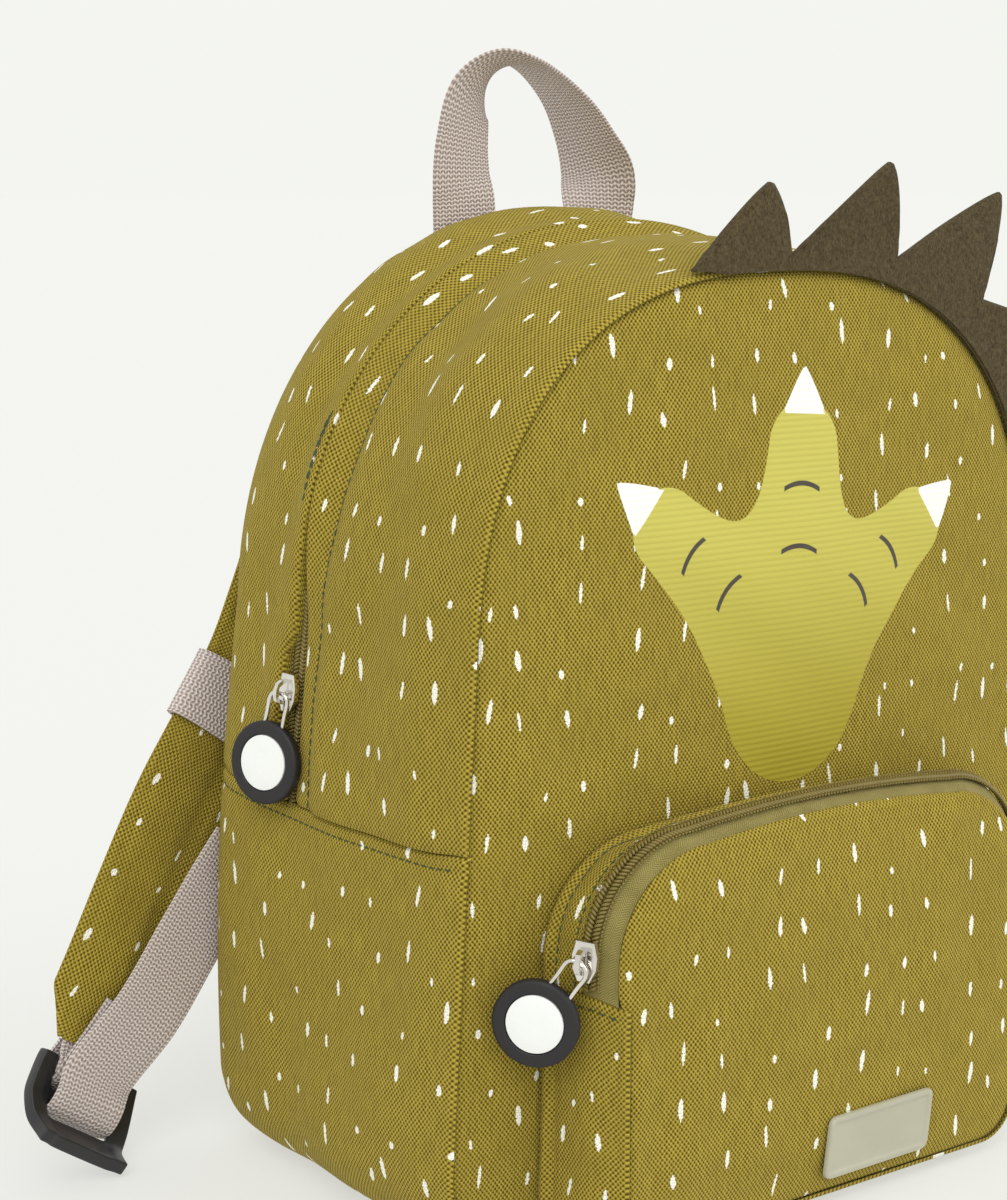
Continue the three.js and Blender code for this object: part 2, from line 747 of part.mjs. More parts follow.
// The felt crest: one strip whose lower edge follows the front seam, cut into leaning spikes.
function crest() {
  const outline = bagWalker(0);
  const clearance = 0.8;
  const place = (along, out) => {
    const step = 0.004;
    const ahead = outline.at(along + step).sub(outline.at(along - step)).normalize();
    const outward = new THREE.Vector2(-ahead.y, ahead.x);
    return outline.at(along).addScaledVector(outward, clearance + out * crestRise);
  };
  const top = [];
  const roundness = 2.4; // of the tips
  const bow = 1.3; // how far a spike's edges curve
  crestSpikes.forEach((spike, i) => {
    const next = crestSpikes[i + 1];
    const foot = place(spike.foot, spike.notch);
    const tip = place(spike.tip, spike.rise);
    const heel = next ? place(next.foot, next.notch) : place(crestEnd, 0);
    const rise = tip.clone().sub(foot).normalize();
    const fall = heel.clone().sub(tip).normalize();
    const riseSide = new THREE.Vector2(-rise.y, rise.x);
    const fallSide = new THREE.Vector2(-fall.y, fall.x);
    top.push(foot);
    top.push(foot.clone().lerp(tip, 0.5).addScaledVector(riseSide, bow));
    top.push(tip.clone().addScaledVector(rise, -roundness).addScaledVector(riseSide, 0.3));
    top.push(tip.clone().addScaledVector(fall, 0.15 * roundness));
    top.push(tip.clone().addScaledVector(fall, roundness).addScaledVector(fallSide, 0.9));
    top.push(tip.clone().lerp(heel, 0.5).addScaledVector(fallSide, bow));
  });
  const ends = [crestEnd, crestSpikes[0].foot + 0.004];
  const bottom = outline.spread(ends[1], ends[0], 22).reverse().map((share) => place(share, 0));
  const shape = new THREE.Shape([...top, ...bottom]);
  const geometry = new THREE.ExtrudeGeometry(shape, { depth: feltThickness, bevelEnabled: false });
  return geometry.rotateX(Math.PI / 2).translate(0, frontY + feltThickness / 2, 0);
}
add("felt_crest", crest(), felt);

// The carrying loop: flat at its feet, turned on edge and creased near the top. x and z are shares
// of the webbing's width, from the middle and from the bag's height; turn is in degrees.
const loopStations = [
  { x: -0.98, z: 0.2, turn: 2 },
  { x: -1, z: 0.68, turn: 4 },
  { x: -1.024, z: 1, turn: 20 },
  { x: -1, z: 1.4, turn: 36 },
  { x: -0.86, z: 1.96, turn: 44 },
  { x: -0.42, z: 2.36, turn: 58 },
  { x: 0.1, z: 2.42, turn: 76 },
  { x: 0.72, z: 2, turn: 80 },
  { x: 1.08, z: 1.48, turn: 74 },
  { x: 1.26, z: 1.04, turn: 50 },
  { x: 1.24, z: 0.66, turn: 6 },
  { x: 1.2, z: 0.24, turn: 2 },
];
const loopY = backY + webbingThickness / 2 + notchClearance;
const loopBow = 3.5; // how far the turned part of the loop stands behind its feet
const loopPlace = ({ x, z, turn }) =>
  new THREE.Vector3(
    x * webbingWidth,
    loopY + loopBow * Math.sin(THREE.MathUtils.degToRad(turn)),
    bagHeight + z * webbingWidth,
  );
const turned = (degrees) => {
  const angle = THREE.MathUtils.degToRad(degrees);
  return new THREE.Vector3(Math.cos(angle), Math.sin(angle), 0);
};
function carryLoop() {
  const stations = loopStations.map((station) => ({
    at: loopPlace(station),
    across: turned(station.turn),
  }));
  return ribbon(stationPath(stations), () => webbingWidth, webbingThickness, flatSection, 36);
}
function notchedBackPanel() {
  const notchDepth = loopY - backY + webbingThickness / 2 + 2 * notchClearance;
  const notchHeight = 40; // up past the panel's edge
  const notches = [loopStations[0], loopStations[loopStations.length - 1]].map((station) => {
    const foot = loopPlace(station);
    return block(
      webbingWidth + 2 * notchClearance, notchDepth, notchHeight,
      foot.x, backY + notchDepth / 2, foot.z - footDepth + notchHeight / 2,
    );
  });
  return cut(backPanel(), ...notches);
}
add("back_panel", notchedBackPanel(), canvas);
add("carry_loop", carryLoop(), webbing);

// Places beside and behind the bag: x is a share of half its width, behind is how far past its
// back, as a share of the strap's thickness, and z is a share of its height.
const besideBag = (x, behind, z) =>
  new THREE.Vector3((x * bagWidth) / 2, backY + behind * strapThickness, z * bagHeight);

// Left shoulder strap, as stations of its middle line; the right one is its mirror image.
const strapStations = [
  { x: -0.29565, behind: 1.625, z: 0.94624, turn: 4 },
  { x: -0.33913, behind: 1.875, z: 0.89606, turn: 8 },
  { x: -0.44348, behind: 2.625, z: 0.81362, turn: 16 },
  { x: -0.57391, behind: 3.1875, z: 0.70609, turn: 22 },
  { x: -0.68696, behind: 3.25, z: 0.5914, turn: 28 },
  { x: -0.77217, behind: 3.125, z: 0.51971, turn: 28 },
  { x: -0.90087, behind: 2.875, z: 0.44337, turn: 28 },
  { x: -1.03652, behind: 2.5, z: 0.36918, turn: 29 },
  { x: -1.17391, behind: 2.0625, z: 0.27814, turn: 30 },
  { x: -1.28261, behind: 1.75, z: 0.20072, turn: 32 },
  { x: -1.37652, behind: 1.8, z: 0.12545, turn: 33 },
];
const strapPath = stationPath(
  strapStations.map(({ x, behind, z, turn }) => ({
    at: besideBag(x, behind, z),
    across: new THREE.Vector3(
      Math.cos(THREE.MathUtils.degToRad(turn)), 0, -Math.sin(THREE.MathUtils.degToRad(turn)),
    ),
  })),
);
const strapWidthAt = (share) => {
  const toEnd = (1 - share) * strapLength;
  return THREE.MathUtils.lerp(webbingWidth + 3, strapWidth, Math.min(toEnd / strapTaper, 1));
};
const strapEnd = strapPath(1);
const strapEndFrame = new THREE.Matrix4()
  .makeBasis(strapEnd.across, strapEnd.normal, strapEnd.tangent)
  .setPosition(strapEnd.centre);

// The buckle's frame: x across the webbing, y towards the back, z up the strap.
const lean = THREE.MathUtils.degToRad(buckleLean);
const buckleAcross = new THREE.Vector3(0.83, 0, -0.56).normalize();
const buckleUp = new THREE.Vector3(0.56 * Math.cos(lean), Math.sin(lean), 0.83 * Math.cos(lean));
const buckleBack = new THREE.Vector3().crossVectors(buckleUp, buckleAcross).normalize();
const buckleFrame = new THREE.Matrix4()
  .makeBasis(buckleAcross, buckleBack, buckleUp.normalize())
  .setPosition(besideBag(-1.46522, 1.0625, 0.0681));
const inBuckle = (x, y, z) => new THREE.Vector3(x, y, z).applyMatrix4(buckleFrame);

function shoulderStrap() {
  const strap = ribbon(strapPath, strapWidthAt, strapThickness, paddedSection, 26);
  const slot = block(webbingWidth + 0.8, 4.8, strapSlotDepth + 2, 0, 0, 1 - strapSlotDepth / 2);
  return cut(strap, slot.applyMatrix4(strapEndFrame));
}
function keeper() {
  const [from, to] = [keeperStart, keeperStart + keeperLength / strapLength];
  const rows = [from, (from + to) / 2, to].map((share) => strapPath(share));
  const inner = rows.map((frame) =>
    sectionLoop(frame, paddedSection, strapWidth, strapThickness, keeperClearance),
  );
  const outer = rows.map((frame) =>
    sectionLoop(frame, paddedSection, strapWidth, strapThickness, keeperClearance + keeperWall),
  );
  return shellGeometry(outer, inner, true);
}

// The webbing loop that ties the buckle's top bar to the strap.
function buckleLoop() {
  const inStrap = (y, z) => ({
    at: new THREE.Vector3(0, y, z).applyMatrix4(strapEndFrame),
    across: strapEnd.across.clone(),
  });
  const onBar = (y, z) => ({ at: inBuckle(0, y, z), across: buckleAcross.clone() });
  const stations = [
    inStrap(-1.2, -strapSlotDepth + 1), inStrap(-1.2, -4), inStrap(-1.2, 0.6),
    onBar(3.4, 13.5), onBar(3.5, 11), onBar(2.6, 8.4), onBar(0, 7.6), onBar(-2.6, 8.4),
    onBar(-3.5, 11), onBar(-3.4, 13.5), inStrap(1.2, 0.6), inStrap(1.2, -4),
    inStrap(1.2, -strapSlotDepth + 1),
  ];
  return ribbon(stationPath(stations), () => webbingWidth, webbingThickness, flatSection, 36);
}

// The long webbing: from the back panel's side, down over the buckle, round its middle bar and
// back up under itself.
function longWebbing() {
  const run = (x, behind, z) => ({
    at: besideBag(x, behind, z),
    across: new THREE.Vector3(0.78, 0, -0.63),
  });
  const onBar = (y, z) => ({ at: inBuckle(0, y, z), across: buckleAcross.clone() });
  const stations = [
    run(-0.93043, 1.05, 0.33333), run(-1.0087, 1.0125, 0.29391),
    run(-1.11304, 0.8625, 0.24014), run(-1.26087, 0.625, 0.16487),
    onBar(-8.2, 9.5), onBar(-6.6, 1.5), onBar(-3.4, -3.4), onBar(0, -4.5), onBar(3.3, -3.2),
    onBar(4.2, 0.6), onBar(3.2, 3.8), onBar(0, 4.9), onBar(-3, 5.9), onBar(-5.2, 9.2),
    run(-1.35652, 0.9875, 0.12545), run(-1.28261, 0.9375, 0.16129),
  ];
  return ribbon(stationPath(stations), () => webbingWidth, webbingThickness, flatSection, 48);
}

// The ladder buckle: a rounded frame with three bars and a lip that curls forward.
function buckle() {
  const slotHalf = webbingWidth / 2 + buckleSlack;
  const half = slotHalf + buckleRail;
  const outline = new THREE.Shape();
  outline.moveTo(-half + 3, 13);
  outline.lineTo(half - 3, 13);
  outline.quadraticCurveTo(half, 13, half, 9);
  outline.lineTo(half - 1, -7);
  outline.quadraticCurveTo(half - 2, -11, half - 7, -11);
  outline.lineTo(-half + 7, -11);
  outline.quadraticCurveTo(-half + 2, -11, -half + 1, -7);
  outline.lineTo(-half, 9);
  outline.quadraticCurveTo(-half, 13, -half + 3, 13);
  for (const [low, high] of [[2.6, 9.4], [-7.6, -1.6]]) {
    const slot = new THREE.Path();
    slot.moveTo(-slotHalf, low);
    slot.lineTo(slotHalf, low);
    slot.lineTo(slotHalf, high);
    slot.lineTo(-slotHalf, high);
    slot.closePath();
    outline.holes.push(slot);
  }
  const plate = new THREE.ExtrudeGeometry(outline, {
    depth: buckleThickness - 1.4, bevelEnabled: true, bevelThickness: 0.7, bevelSize: 0.7,
    bevelOffset: -0.7, bevelSegments: 1, curveSegments: 3,
  });
  plate.rotateX(Math.PI / 2).translate(0, buckleThickness / 2 - 0.7, 0);
  const lip = block(2 * slotHalf - buckleRail, 6, 3, 0, -3, -9.3);
  return join(plate, lip).applyMatrix4(buckleFrame);
}

const mirrored = (geometry) => facingOut(geometry.clone().scale(-1, 1, 1));
const strapPieces = [
  ["shoulder_strap", shoulderStrap(), canvas],
  ["strap_keeper", keeper(), webbing],
  ["buckle_loop", buckleLoop(), webbing],
  ["long_webbing", longWebbing(), webbing],
  ["ladder_buckle", buckle(), blackPlastic],
];
for (const [name, geometry, material] of strapPieces) {
  add(`${name}_left`, geometry, material);
  add(`${name}_right`, mirrored(geometry), material);
}

// A zip slider. Local axes: x across the zip, y outward, z up along it; y = 0 is its underside.
function slider() {
  const [w, l] = [sliderWidth / 2, sliderLength / 2];
  const outline = new THREE.Shape([
    new THREE.Vector2(-w * 0.72, l), new THREE.Vector2(w * 0.72, l), new THREE.Vector2(w, l * 0.3),
    new THREE.Vector2(w * 0.92, -l * 0.35), new THREE.Vector2(w * 0.45, -l),
    new THREE.Vector2(-w * 0.45, -l), new THREE.Vector2(-w * 0.92, -l * 0.35),
    new THREE.Vector2(-w, l * 0.3),
  ]);
  const plate = new THREE.ExtrudeGeometry(outline, {
    depth: sliderThickness - 0.8, bevelEnabled: true, bevelThickness: 0.4, bevelSize: 0.4,
    bevelOffset: -0.4, bevelSegments: 1,
  });
  plate.rotateX(Math.PI / 2).translate(0, sliderThickness - 0.4, 0);
  const arch = new THREE.Shape();
  const archPoints = [
    [-3.3, 0], [-3.1, 2.6], [-2.4, 4], [-0.8, bridgeRise], [1, bridgeRise], [3, 4], [4, 2.6],
    [4.4, 0],
  ];
  arch.setFromPoints(archPoints.map(([z, y]) => new THREE.Vector2(y + sliderThickness - 0.6, z)));
  const tunnel = archPoints.map(
    ([z, y]) =>
      new THREE.Vector2(
        Math.max(y - bridgeWall, 0) + sliderThickness + (y ? -0.2 : 0.3),
        z - Math.sign(z) * Math.min(bridgeWall, Math.abs(z)),
      ),
  );
  arch.holes.push(new THREE.Path(tunnel));
  const bridge = new THREE.ExtrudeGeometry(arch, { depth: bridgeWidth, bevelEnabled: false });
  bridge.applyMatrix4(
    new THREE.Matrix4().makeBasis(
      new THREE.Vector3(0, 1, 0), new THREE.Vector3(0, 0, 1), new THREE.Vector3(1, 0, 0),
    ),
  );
  bridge.translate(-bridgeWidth / 2, 0, 0);
  return join(plate, bridge);
}
const hingeRise = sliderThickness - 0.6 + bridgeRise - bridgeWall - pullWire / 2 - 0.35;

// A pull hangs in its own frame: x along its hinge, y out of the disc's face, z up to the hinge.
function pullWireLoop() {
  const half = pullLoopWidth / 2;
  const low = -(pullLength - discDiameter / 2 + 3);
  const points = [
    [-half, low], [-half, -6], [-half, -2], [-half + 0.7, -0.7], [-half + 2, 0], [0, 0],
    [half - 2, 0], [half - 0.7, -0.7], [half, -2], [half, -6], [half, low],
  ];
  const stations = points.map(([x, z]) => ({
    at: new THREE.Vector3(x, 0, z),
    across: new THREE.Vector3(0, 1, 0),
  }));
  return ribbon(stationPath(stations), () => pullWire, pullWire, roundSection, 22);
}
function pullDisc() {
  const [r, h] = [discDiameter / 2, discThickness / 2];
  const recess = insertDiameter / 2 + seamGap;
  const floor = h - insertThickness - seamGap;
  const profile = [
    [0, -h], [r - 0.8, -h], [r, -h + 0.8], [r, h - 0.8], [r - 0.8, h], [recess, h],
    [recess, floor], [0, floor],
  ].map(([x, y]) => new THREE.Vector2(x, y));
  const disc = new THREE.LatheGeometry(profile, 24).translate(0, 0, -pullLength);
  const holes = [-1, 1].map((side) =>
    new THREE.CylinderGeometry(pullWire / 2 + 0.25, pullWire / 2 + 0.25, 8, 6)
      .rotateX(Math.PI / 2)
      .translate((side * pullLoopWidth) / 2, 0, -pullLength + discDiameter / 2 + 4 - 3.6),
  );
  return cut(disc, ...holes);
}
function pullInsert() {
  return new THREE.CylinderGeometry(insertDiameter / 2, insertDiameter / 2, insertThickness, 24)
    .translate(0, discThickness / 2 - insertThickness / 2, -pullLength);
}

// Places a slider and its pull on a skin. hang is the way the pull's wire runs from its hinge and
// face the way the disc looks.
function zipPull(prefix, { point, along, depth, seat, hang, face }) {
  const normal = skinNormal(point, along, depth);
  const up = point(along + 0.004, depth).sub(point(along - 0.004, depth)).normalize();
  if (up.z < 0) up.negate();
  const across = new THREE.Vector3().crossVectors(normal, up).normalize();
  const at = point(along, depth).addScaledVector(normal, seat);
  add(`${prefix}_slider`, slider(), nickel, { x: across, y: normal, z: up, origin: at });
  const down = new THREE.Vector3(...hang).normalize();
  const look = new THREE.Vector3(...face);
  look.addScaledVector(down, -look.dot(down)).normalize();
  const hinge = new THREE.Vector3().crossVectors(down, look);
  const origin = at.clone().addScaledVector(normal, hingeRise);
  const frame = { x: hinge, y: look, z: down.clone().negate(), origin };
  add(`${prefix}_pull_wire`, pullWireLoop(), nickel, frame);
  add(`${prefix}_pull_disc`, pullDisc(), blackRubber, frame);
  add(`${prefix}_pull_insert`, pullInsert(), whiteEnamel, frame);
}
zipPull("main", {
  point: bagPoint,
  along: -bagWalker(zipShare).shareAtHeight(mainSliderHeight),
  depth: zipShare,
  seat: seamGap / 2,
  hang: [-3.4, 3.2, -21.3],
  face: [-0.95, -0.32, 0],
});
zipPull("pocket", {
  point: pocketPoint,
  along: -pocketWalker(pocketCoilMiddle).shareAtHeight(pocketSliderHeight),
  depth: pocketCoilMiddle,
  seat: coilThickness - 0.5 + 2 * seamGap,
  hang: [-0.37, 0.44, -0.83],
  face: [-0.84, -0.53, -0.1],
});

export default bag;
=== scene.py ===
import math

import bpy
import numpy as np
from mathutils import Matrix, Vector


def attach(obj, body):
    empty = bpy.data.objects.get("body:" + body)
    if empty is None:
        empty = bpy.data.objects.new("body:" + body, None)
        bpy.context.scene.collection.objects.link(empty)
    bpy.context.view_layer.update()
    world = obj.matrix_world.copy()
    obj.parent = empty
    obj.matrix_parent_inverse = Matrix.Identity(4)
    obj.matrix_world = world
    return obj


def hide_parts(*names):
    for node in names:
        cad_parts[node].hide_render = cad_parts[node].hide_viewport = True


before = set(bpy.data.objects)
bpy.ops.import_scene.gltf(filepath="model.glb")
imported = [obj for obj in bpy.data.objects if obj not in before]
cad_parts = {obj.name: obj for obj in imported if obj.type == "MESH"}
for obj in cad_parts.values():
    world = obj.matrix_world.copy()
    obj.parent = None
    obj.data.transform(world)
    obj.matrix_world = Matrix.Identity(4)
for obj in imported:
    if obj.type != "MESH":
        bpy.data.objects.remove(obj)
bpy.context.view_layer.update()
print("frame loaded")

mm = 0.001  # the shapes below are worked out in millimetres and stored in metres

# The bag's own sizes.
bag = {
    "width": 230,
    "height": 279,
    "depth": 118,
    "shoulder": 175,
    "corner": 24,
    "cloth": 2,
    "backPad": 5,
    "frontDome": 7,
    "backDome": 3,
    "gap": 0.3,
    "sideSeam": 119,
    "middle": 0.48,  # share of the height where the panels' rings meet
}
turnIn = 3.4  # how far the gusset's cloth reaches round the front and back panels' rims
seamRoll = {"front": (7, 2.6), "back": (7, 3.2)}  # over how far, and how deep, it turns down to each seam
sectionColumns = ("depth", "width", "flare", "belly", "height", "arch", "lift")
bagSections = [  # the bag's outline from the front seam to the back seam, as shares of its own sizes
    dict(zip(sectionColumns, row))
    for row in (
        (0.0, 1.011, 0.045, 0.0, 1.0, 2.5, 0.12),
        (0.08, 1.02, 0.045, 0.006, 1.006, 2.48, 0.04),
        (0.25, 1.032, 0.042, 0.014, 1.015, 2.4, 0.0),
        (0.45, 1.038, 0.04, 0.022, 1.02, 2.3, 0.0),
        (0.64, 1.026, 0.038, 0.03, 1.024, 2.22, 0.0),
        (0.8, 1.032, 0.037, 0.04, 1.04, 2.17, 0.0),
        (0.94, 1.03, 0.037, 0.043, 1.05, 2.15, 0.04),
        (1.0, 1.018, 0.037, 0.04, 1.046, 2.15, 0.12),
    )
]
zipSizes = {
    "depth": 80,
    "opening": 9,
    "tapeWidth": 26,
    "coilWidth": 6,
    "closedHeight": 214,
    "narrow": 4.4,  # what stays open above the slider
    "sliderHeights": (160, 172),
    "openHeight": 165,
    "pitch": 1.2,
    "lift": -1.7,  # of the coil's middle off the gusset's face
}
pocket = {
    "width": 176,
    "height": 122,
    "depth": 28,
    "lift": 3,
    "topRadius": 32,
    "bottomRadius": 15,
    "crown": 3,
    "dome": 5,
    "seat": 0.8,
    "zipEnd": 80,
    "strip": 17,
    "coilWidth": 5.5,
    "coilLift": 0.7,
}
pocketSections = [
    {"depth": 0.0, "width": 1.0, "height": 1.0},
    {"depth": 0.35, "width": 0.985, "height": 1.02},
    {"depth": 0.7, "width": 0.965, "height": 1.03},
    {"depth": 1.0, "width": 0.915, "height": 1.005},
]
frontY = -bag["depth"] / 2
backY = bag["depth"] / 2
frontFaceY = frontY - bag["gap"] - bag["cloth"]
pocketFrontY = frontFaceY - pocket["depth"]


def smooth(value, low, high):
    share = np.clip((value - low) / (high - low), 0, 1)
    return share * share * (3 - 2 * share)


def unit(vectors):
    return vectors / np.maximum(np.linalg.norm(vectors, axis=-1, keepdims=True), 1e-9)


def column(sections, name, depth):  # one column of a table, smoothly between its rows
    last = len(sections) - 1
    i = 0
    while i < last - 1 and depth > sections[i + 1]["depth"]:
        i += 1
    before, here = sections[max(i - 1, 0)], sections[i]
    nextRow, after = sections[i + 1], sections[min(i + 2, last)]
    span = nextRow["depth"] - here["depth"]
    share = min(max((depth - here["depth"]) / span, 0), 1)
    slopeHere = (nextRow[name] - before[name]) / (nextRow["depth"] - before["depth"]) * span
    slopeNext = (after[name] - here[name]) / (after["depth"] - here["depth"]) * span
    squared, cubed = share**2, share**3
    return (
        (2 * cubed - 3 * squared + 1) * here[name]
        + (cubed - 2 * squared + share) * slopeHere
        + (3 * squared - 2 * cubed) * nextRow[name]
        + (cubed - squared) * slopeNext
    )


class Outline:  # half an outline, from its apex down its left side, walked by shares of its length
    def __init__(self, x, z):
        self.x, self.z = np.array(x), np.array(z)
        steps = np.hypot(np.diff(self.x), np.diff(self.z))
        self.lengths = np.concatenate([[0], np.cumsum(steps)])
        self.total = self.lengths[-1]
        self.top, self.bottom = self.z[0], self.z[-1]

    def at(self, shares):
        shares = np.where(shares > 1, shares - 2, np.where(shares < -1, shares + 2, shares))
        along = np.minimum(np.abs(shares), 1) * self.total
        x = np.interp(along, self.lengths, self.x)
        return np.where(shares > 0, -x, x), np.interp(along, self.lengths, self.z)

    def shareAtHeight(self, height):
        return float(np.interp(-height, -self.z, self.lengths)) / self.total

    def halfWidth(self, z):
        return np.interp(z, self.z[::-1], -self.x[::-1])


def bagOutline(depth):
    def value(name):
        return column(bagSections, name, depth)

    shoulder, corner = bag["shoulder"], bag["corner"]
    top = bag["height"] * value("height")
    lift = corner * max(value("lift"), 0)
    power = 2 / value("arch")

    def halfWidth(z):
        belly = value("belly") * np.sin(np.pi * np.clip(z / shoulder, 0, 1))
        return bag["width"] / 2 * (value("width") + value("flare") * (1 - 2 * z / shoulder) + belly)

    angle = np.linspace(math.pi / 2, 0, 160)
    archZ = shoulder + (top - shoulder) * np.sin(angle) ** power
    archX = -halfWidth(np.minimum(archZ, top)) * np.maximum(np.cos(angle), 0) ** power
    sideZ = np.linspace(shoulder, lift + corner, 40)[1:]
    turn = np.linspace(0, math.pi / 2, 24)[1:]
    cornerX = -halfWidth(lift + corner) + corner - corner * np.cos(turn)
    cornerZ = lift + corner - corner * np.sin(turn)
    x = np.concatenate([archX, -halfWidth(sideZ), cornerX, [0]])
    z = np.concatenate([archZ, sideZ, cornerZ, [lift]])
    return Outline(x, z)


def pocketOutline(depth):
    half = pocket["width"] / 2 * column(pocketSections, "width", depth)
    top = pocket["height"] * column(pocketSections, "height", depth)
    radius, low, crown = pocket["topRadius"], pocket["bottomRadius"], pocket["crown"]
    share = np.linspace(0, 1, 24)
    turn = np.linspace(0, math.pi / 2, 28)
    straight = half - radius
    lowZ = pocket["lift"] + low
    x = [-straight * share, -straight - radius * np.sin(turn[1:]), -half + low * (1 - np.cos(turn)), [0]]
    z = [
        top - crown * share**2,
        top - crown - radius + radius * np.cos(turn[1:]),
        lowZ - low * np.sin(turn),
        [pocket["lift"]],
    ]
    return Outline(np.concatenate(x), np.concatenate(z))


outlines = {}


def outlineOf(maker, depth):
    key = (maker.__name__, round(depth, 4))
    if key not in outlines:
        outlines[key] = maker(depth)
    return outlines[key]


def domeShare(outline, x, z):
    height = np.clip(z, outline.bottom + 0.01, outline.top - 0.01)
    across = np.minimum(np.abs(x) / np.maximum(outline.halfWidth(height), 1), 1)
    upward = (height - outline.bottom) / (outline.top - outline.bottom)
    return (1 - across**2.4) * (1 - np.abs(2 * upward - 1) ** 3)


def frontFace(x, z):
    return frontFaceY - bag["frontDome"] * domeShare(outlineOf(bagOutline, 0), x, z)


def backFace(x, z):
    dome = bag["backDome"] * domeShare(outlineOf(bagOutline, 1), x, z)
    return backY + bag["gap"] + bag["backPad"] + dome


def pocketFaceAt(x, z):
    dome = pocket["dome"] * domeShare(outlineOf(pocketOutline, 1), x, z)
    return pocketFrontY - bag["gap"] - bag["cloth"] - dome


def bagSkin(shares, depth):
    x, z = outlineOf(bagOutline, depth).at(shares)
    return np.stack([x, np.full_like(x, frontY + bag["depth"] * depth), z], axis=-1)


def pocketSkin(shares, depth):
    footX, footZ = outlineOf(pocketOutline, 0).at(shares)
    x, z = outlineOf(pocketOutline, depth).at(shares)
    footY = frontFace(footX, footZ) - pocket["seat"]
    return np.stack([x, footY + (pocketFrontY - footY) * depth, z], axis=-1)


def softNoise(u, v, size, seed, waves=9):  # gentle unevenness with features of about this size
    draw = np.random.default_rng(seed)
    total = np.zeros(np.broadcast(u, v).shape)
    for _ in range(waves):
        heading, phase, scale = draw.uniform(0, math.tau), draw.uniform(0, math.tau), draw.uniform(0.6, 1.5)
        along = u * math.cos(heading) + v * math.sin(heading)
        total = total + np.sin(along * math.tau / (size * scale) + phase)
    return total / math.sqrt(waves)


def fold(u, v, start, end, width, height):  # a ridge, or a valley where height is negative
    (u0, v0), (u1, v1) = start, end
    span = (u1 - u0) ** 2 + (v1 - v0) ** 2
    share = np.clip(((u - u0) * (u1 - u0) + (v - v0) * (v1 - v0)) / span, 0, 1)
    away = np.hypot(u - u0 - share * (u1 - u0), v - v0 - share * (v1 - v0))
    taper = 0.35 + 0.65 * np.sin(math.pi * np.clip(share, 0.03, 0.97))
    return height * taper * np.exp(-((away / width) ** 2))


def folds(u, v, table):
    return sum(fold(u, v, *row) for row in table)


def edgeRoll(distance, radius, drop):  # how far cloth turns down close to a seam
    share = np.clip(distance / radius, 0, 1)
    return -drop * (1 - np.sqrt(np.maximum(1 - (1 - share) ** 2, 0)))


def meshPiece(name, points, faces, material, uv=None, sharp=50, attributes=None):
    mesh = bpy.data.meshes.new(name)
    mesh.from_pydata((np.asarray(points) * mm).tolist(), [], faces)
    if uv is not None:
        corners = np.empty(len(mesh.loops), dtype=np.int32)
        mesh.loops.foreach_get("vertex_index", corners)
        layer = mesh.uv_layers.new(name="cloth")
        layer.data.foreach_set("uv", (np.asarray(uv)[corners] * mm).ravel())
    for key, values in (attributes or {}).items():
        mesh.attributes.new(key, "FLOAT", "POINT").data.foreach_set("value", np.asarray(values, dtype=float))
    mesh.polygons.foreach_set("use_smooth", [True] * len(mesh.polygons))
    mesh.set_sharp_from_angle(angle=math.radians(sharp))
    mesh.materials.append(material)
    mesh.validate()
    mesh.update()
    piece = bpy.data.objects.new(name, mesh)
    bpy.context.scene.collection.objects.link(piece)
    return piece


def facingOut(points, faces):
    corners = np.array([face[:3] for face in faces])
    a, b, c = (points[corners[:, k]] for k in range(3))
    if np.einsum("ij,ij->i", a, np.cross(b, c)).sum() < 0:
        return [face[::-1] for face in faces]
    return faces


def gridNormals(grid, middle):
    normals = unit(np.cross(np.gradient(grid, axis=1), np.gradient(grid, axis=0)))
    away = np.einsum("ijk,ijk->ij", normals, grid - middle)
    return np.where((away < 0)[..., None], -normals, normals)


def shellFaces(rows, columns, closed=False):
    faces = []
    shift = rows * columns
    lastColumn = columns if closed else columns - 1
    for r in range(rows - 1):
        for c in range(lastColumn):
            d = (c + 1) % columns
            a, b = r * columns + c, r * columns + d
            e, f = a + columns, b + columns
            faces.append((a, b, f, e))
            faces.append((shift + a, shift + e, shift + f, shift + b))
    for c in range(lastColumn):
        d = (c + 1) % columns
        faces.append((c, shift + c, shift + d, d))
        a, b = (rows - 1) * columns + c, (rows - 1) * columns + d
        faces.append((a, b, shift + b, shift + a))
    if not closed:
        c = columns - 1
        for r in range(rows - 1):
            a, b = r * columns, (r + 1) * columns
            faces.append((a, b, shift + b, shift + a))
            faces.append((a + c, shift + a + c, shift + b + c, b + c))
    return faces


def shellPiece(name, outer, inner, uv, material, closed=False, **extra):
    rows, columns = outer.shape[:2]
    points = np.concatenate([outer.reshape(-1, 3), inner.reshape(-1, 3)])
    faces = facingOut(points, shellFaces(rows, columns, closed))
    flat = uv.reshape(-1, 2)
    return meshPiece(name, points, faces, material, uv=np.concatenate([flat, flat + bag["cloth"]]), **extra)


def wallShare(deep, thin, reach=4):  # cloth that thins out towards the edges that are tucked into a seam
    share = np.ones_like(deep)
    edges = {"first": deep[:1], "last": deep[-1:]}
    for name in thin:
        share = share * (0.12 + 0.88 * smooth(np.abs(deep - edges[name]), 0, reach))
    return share


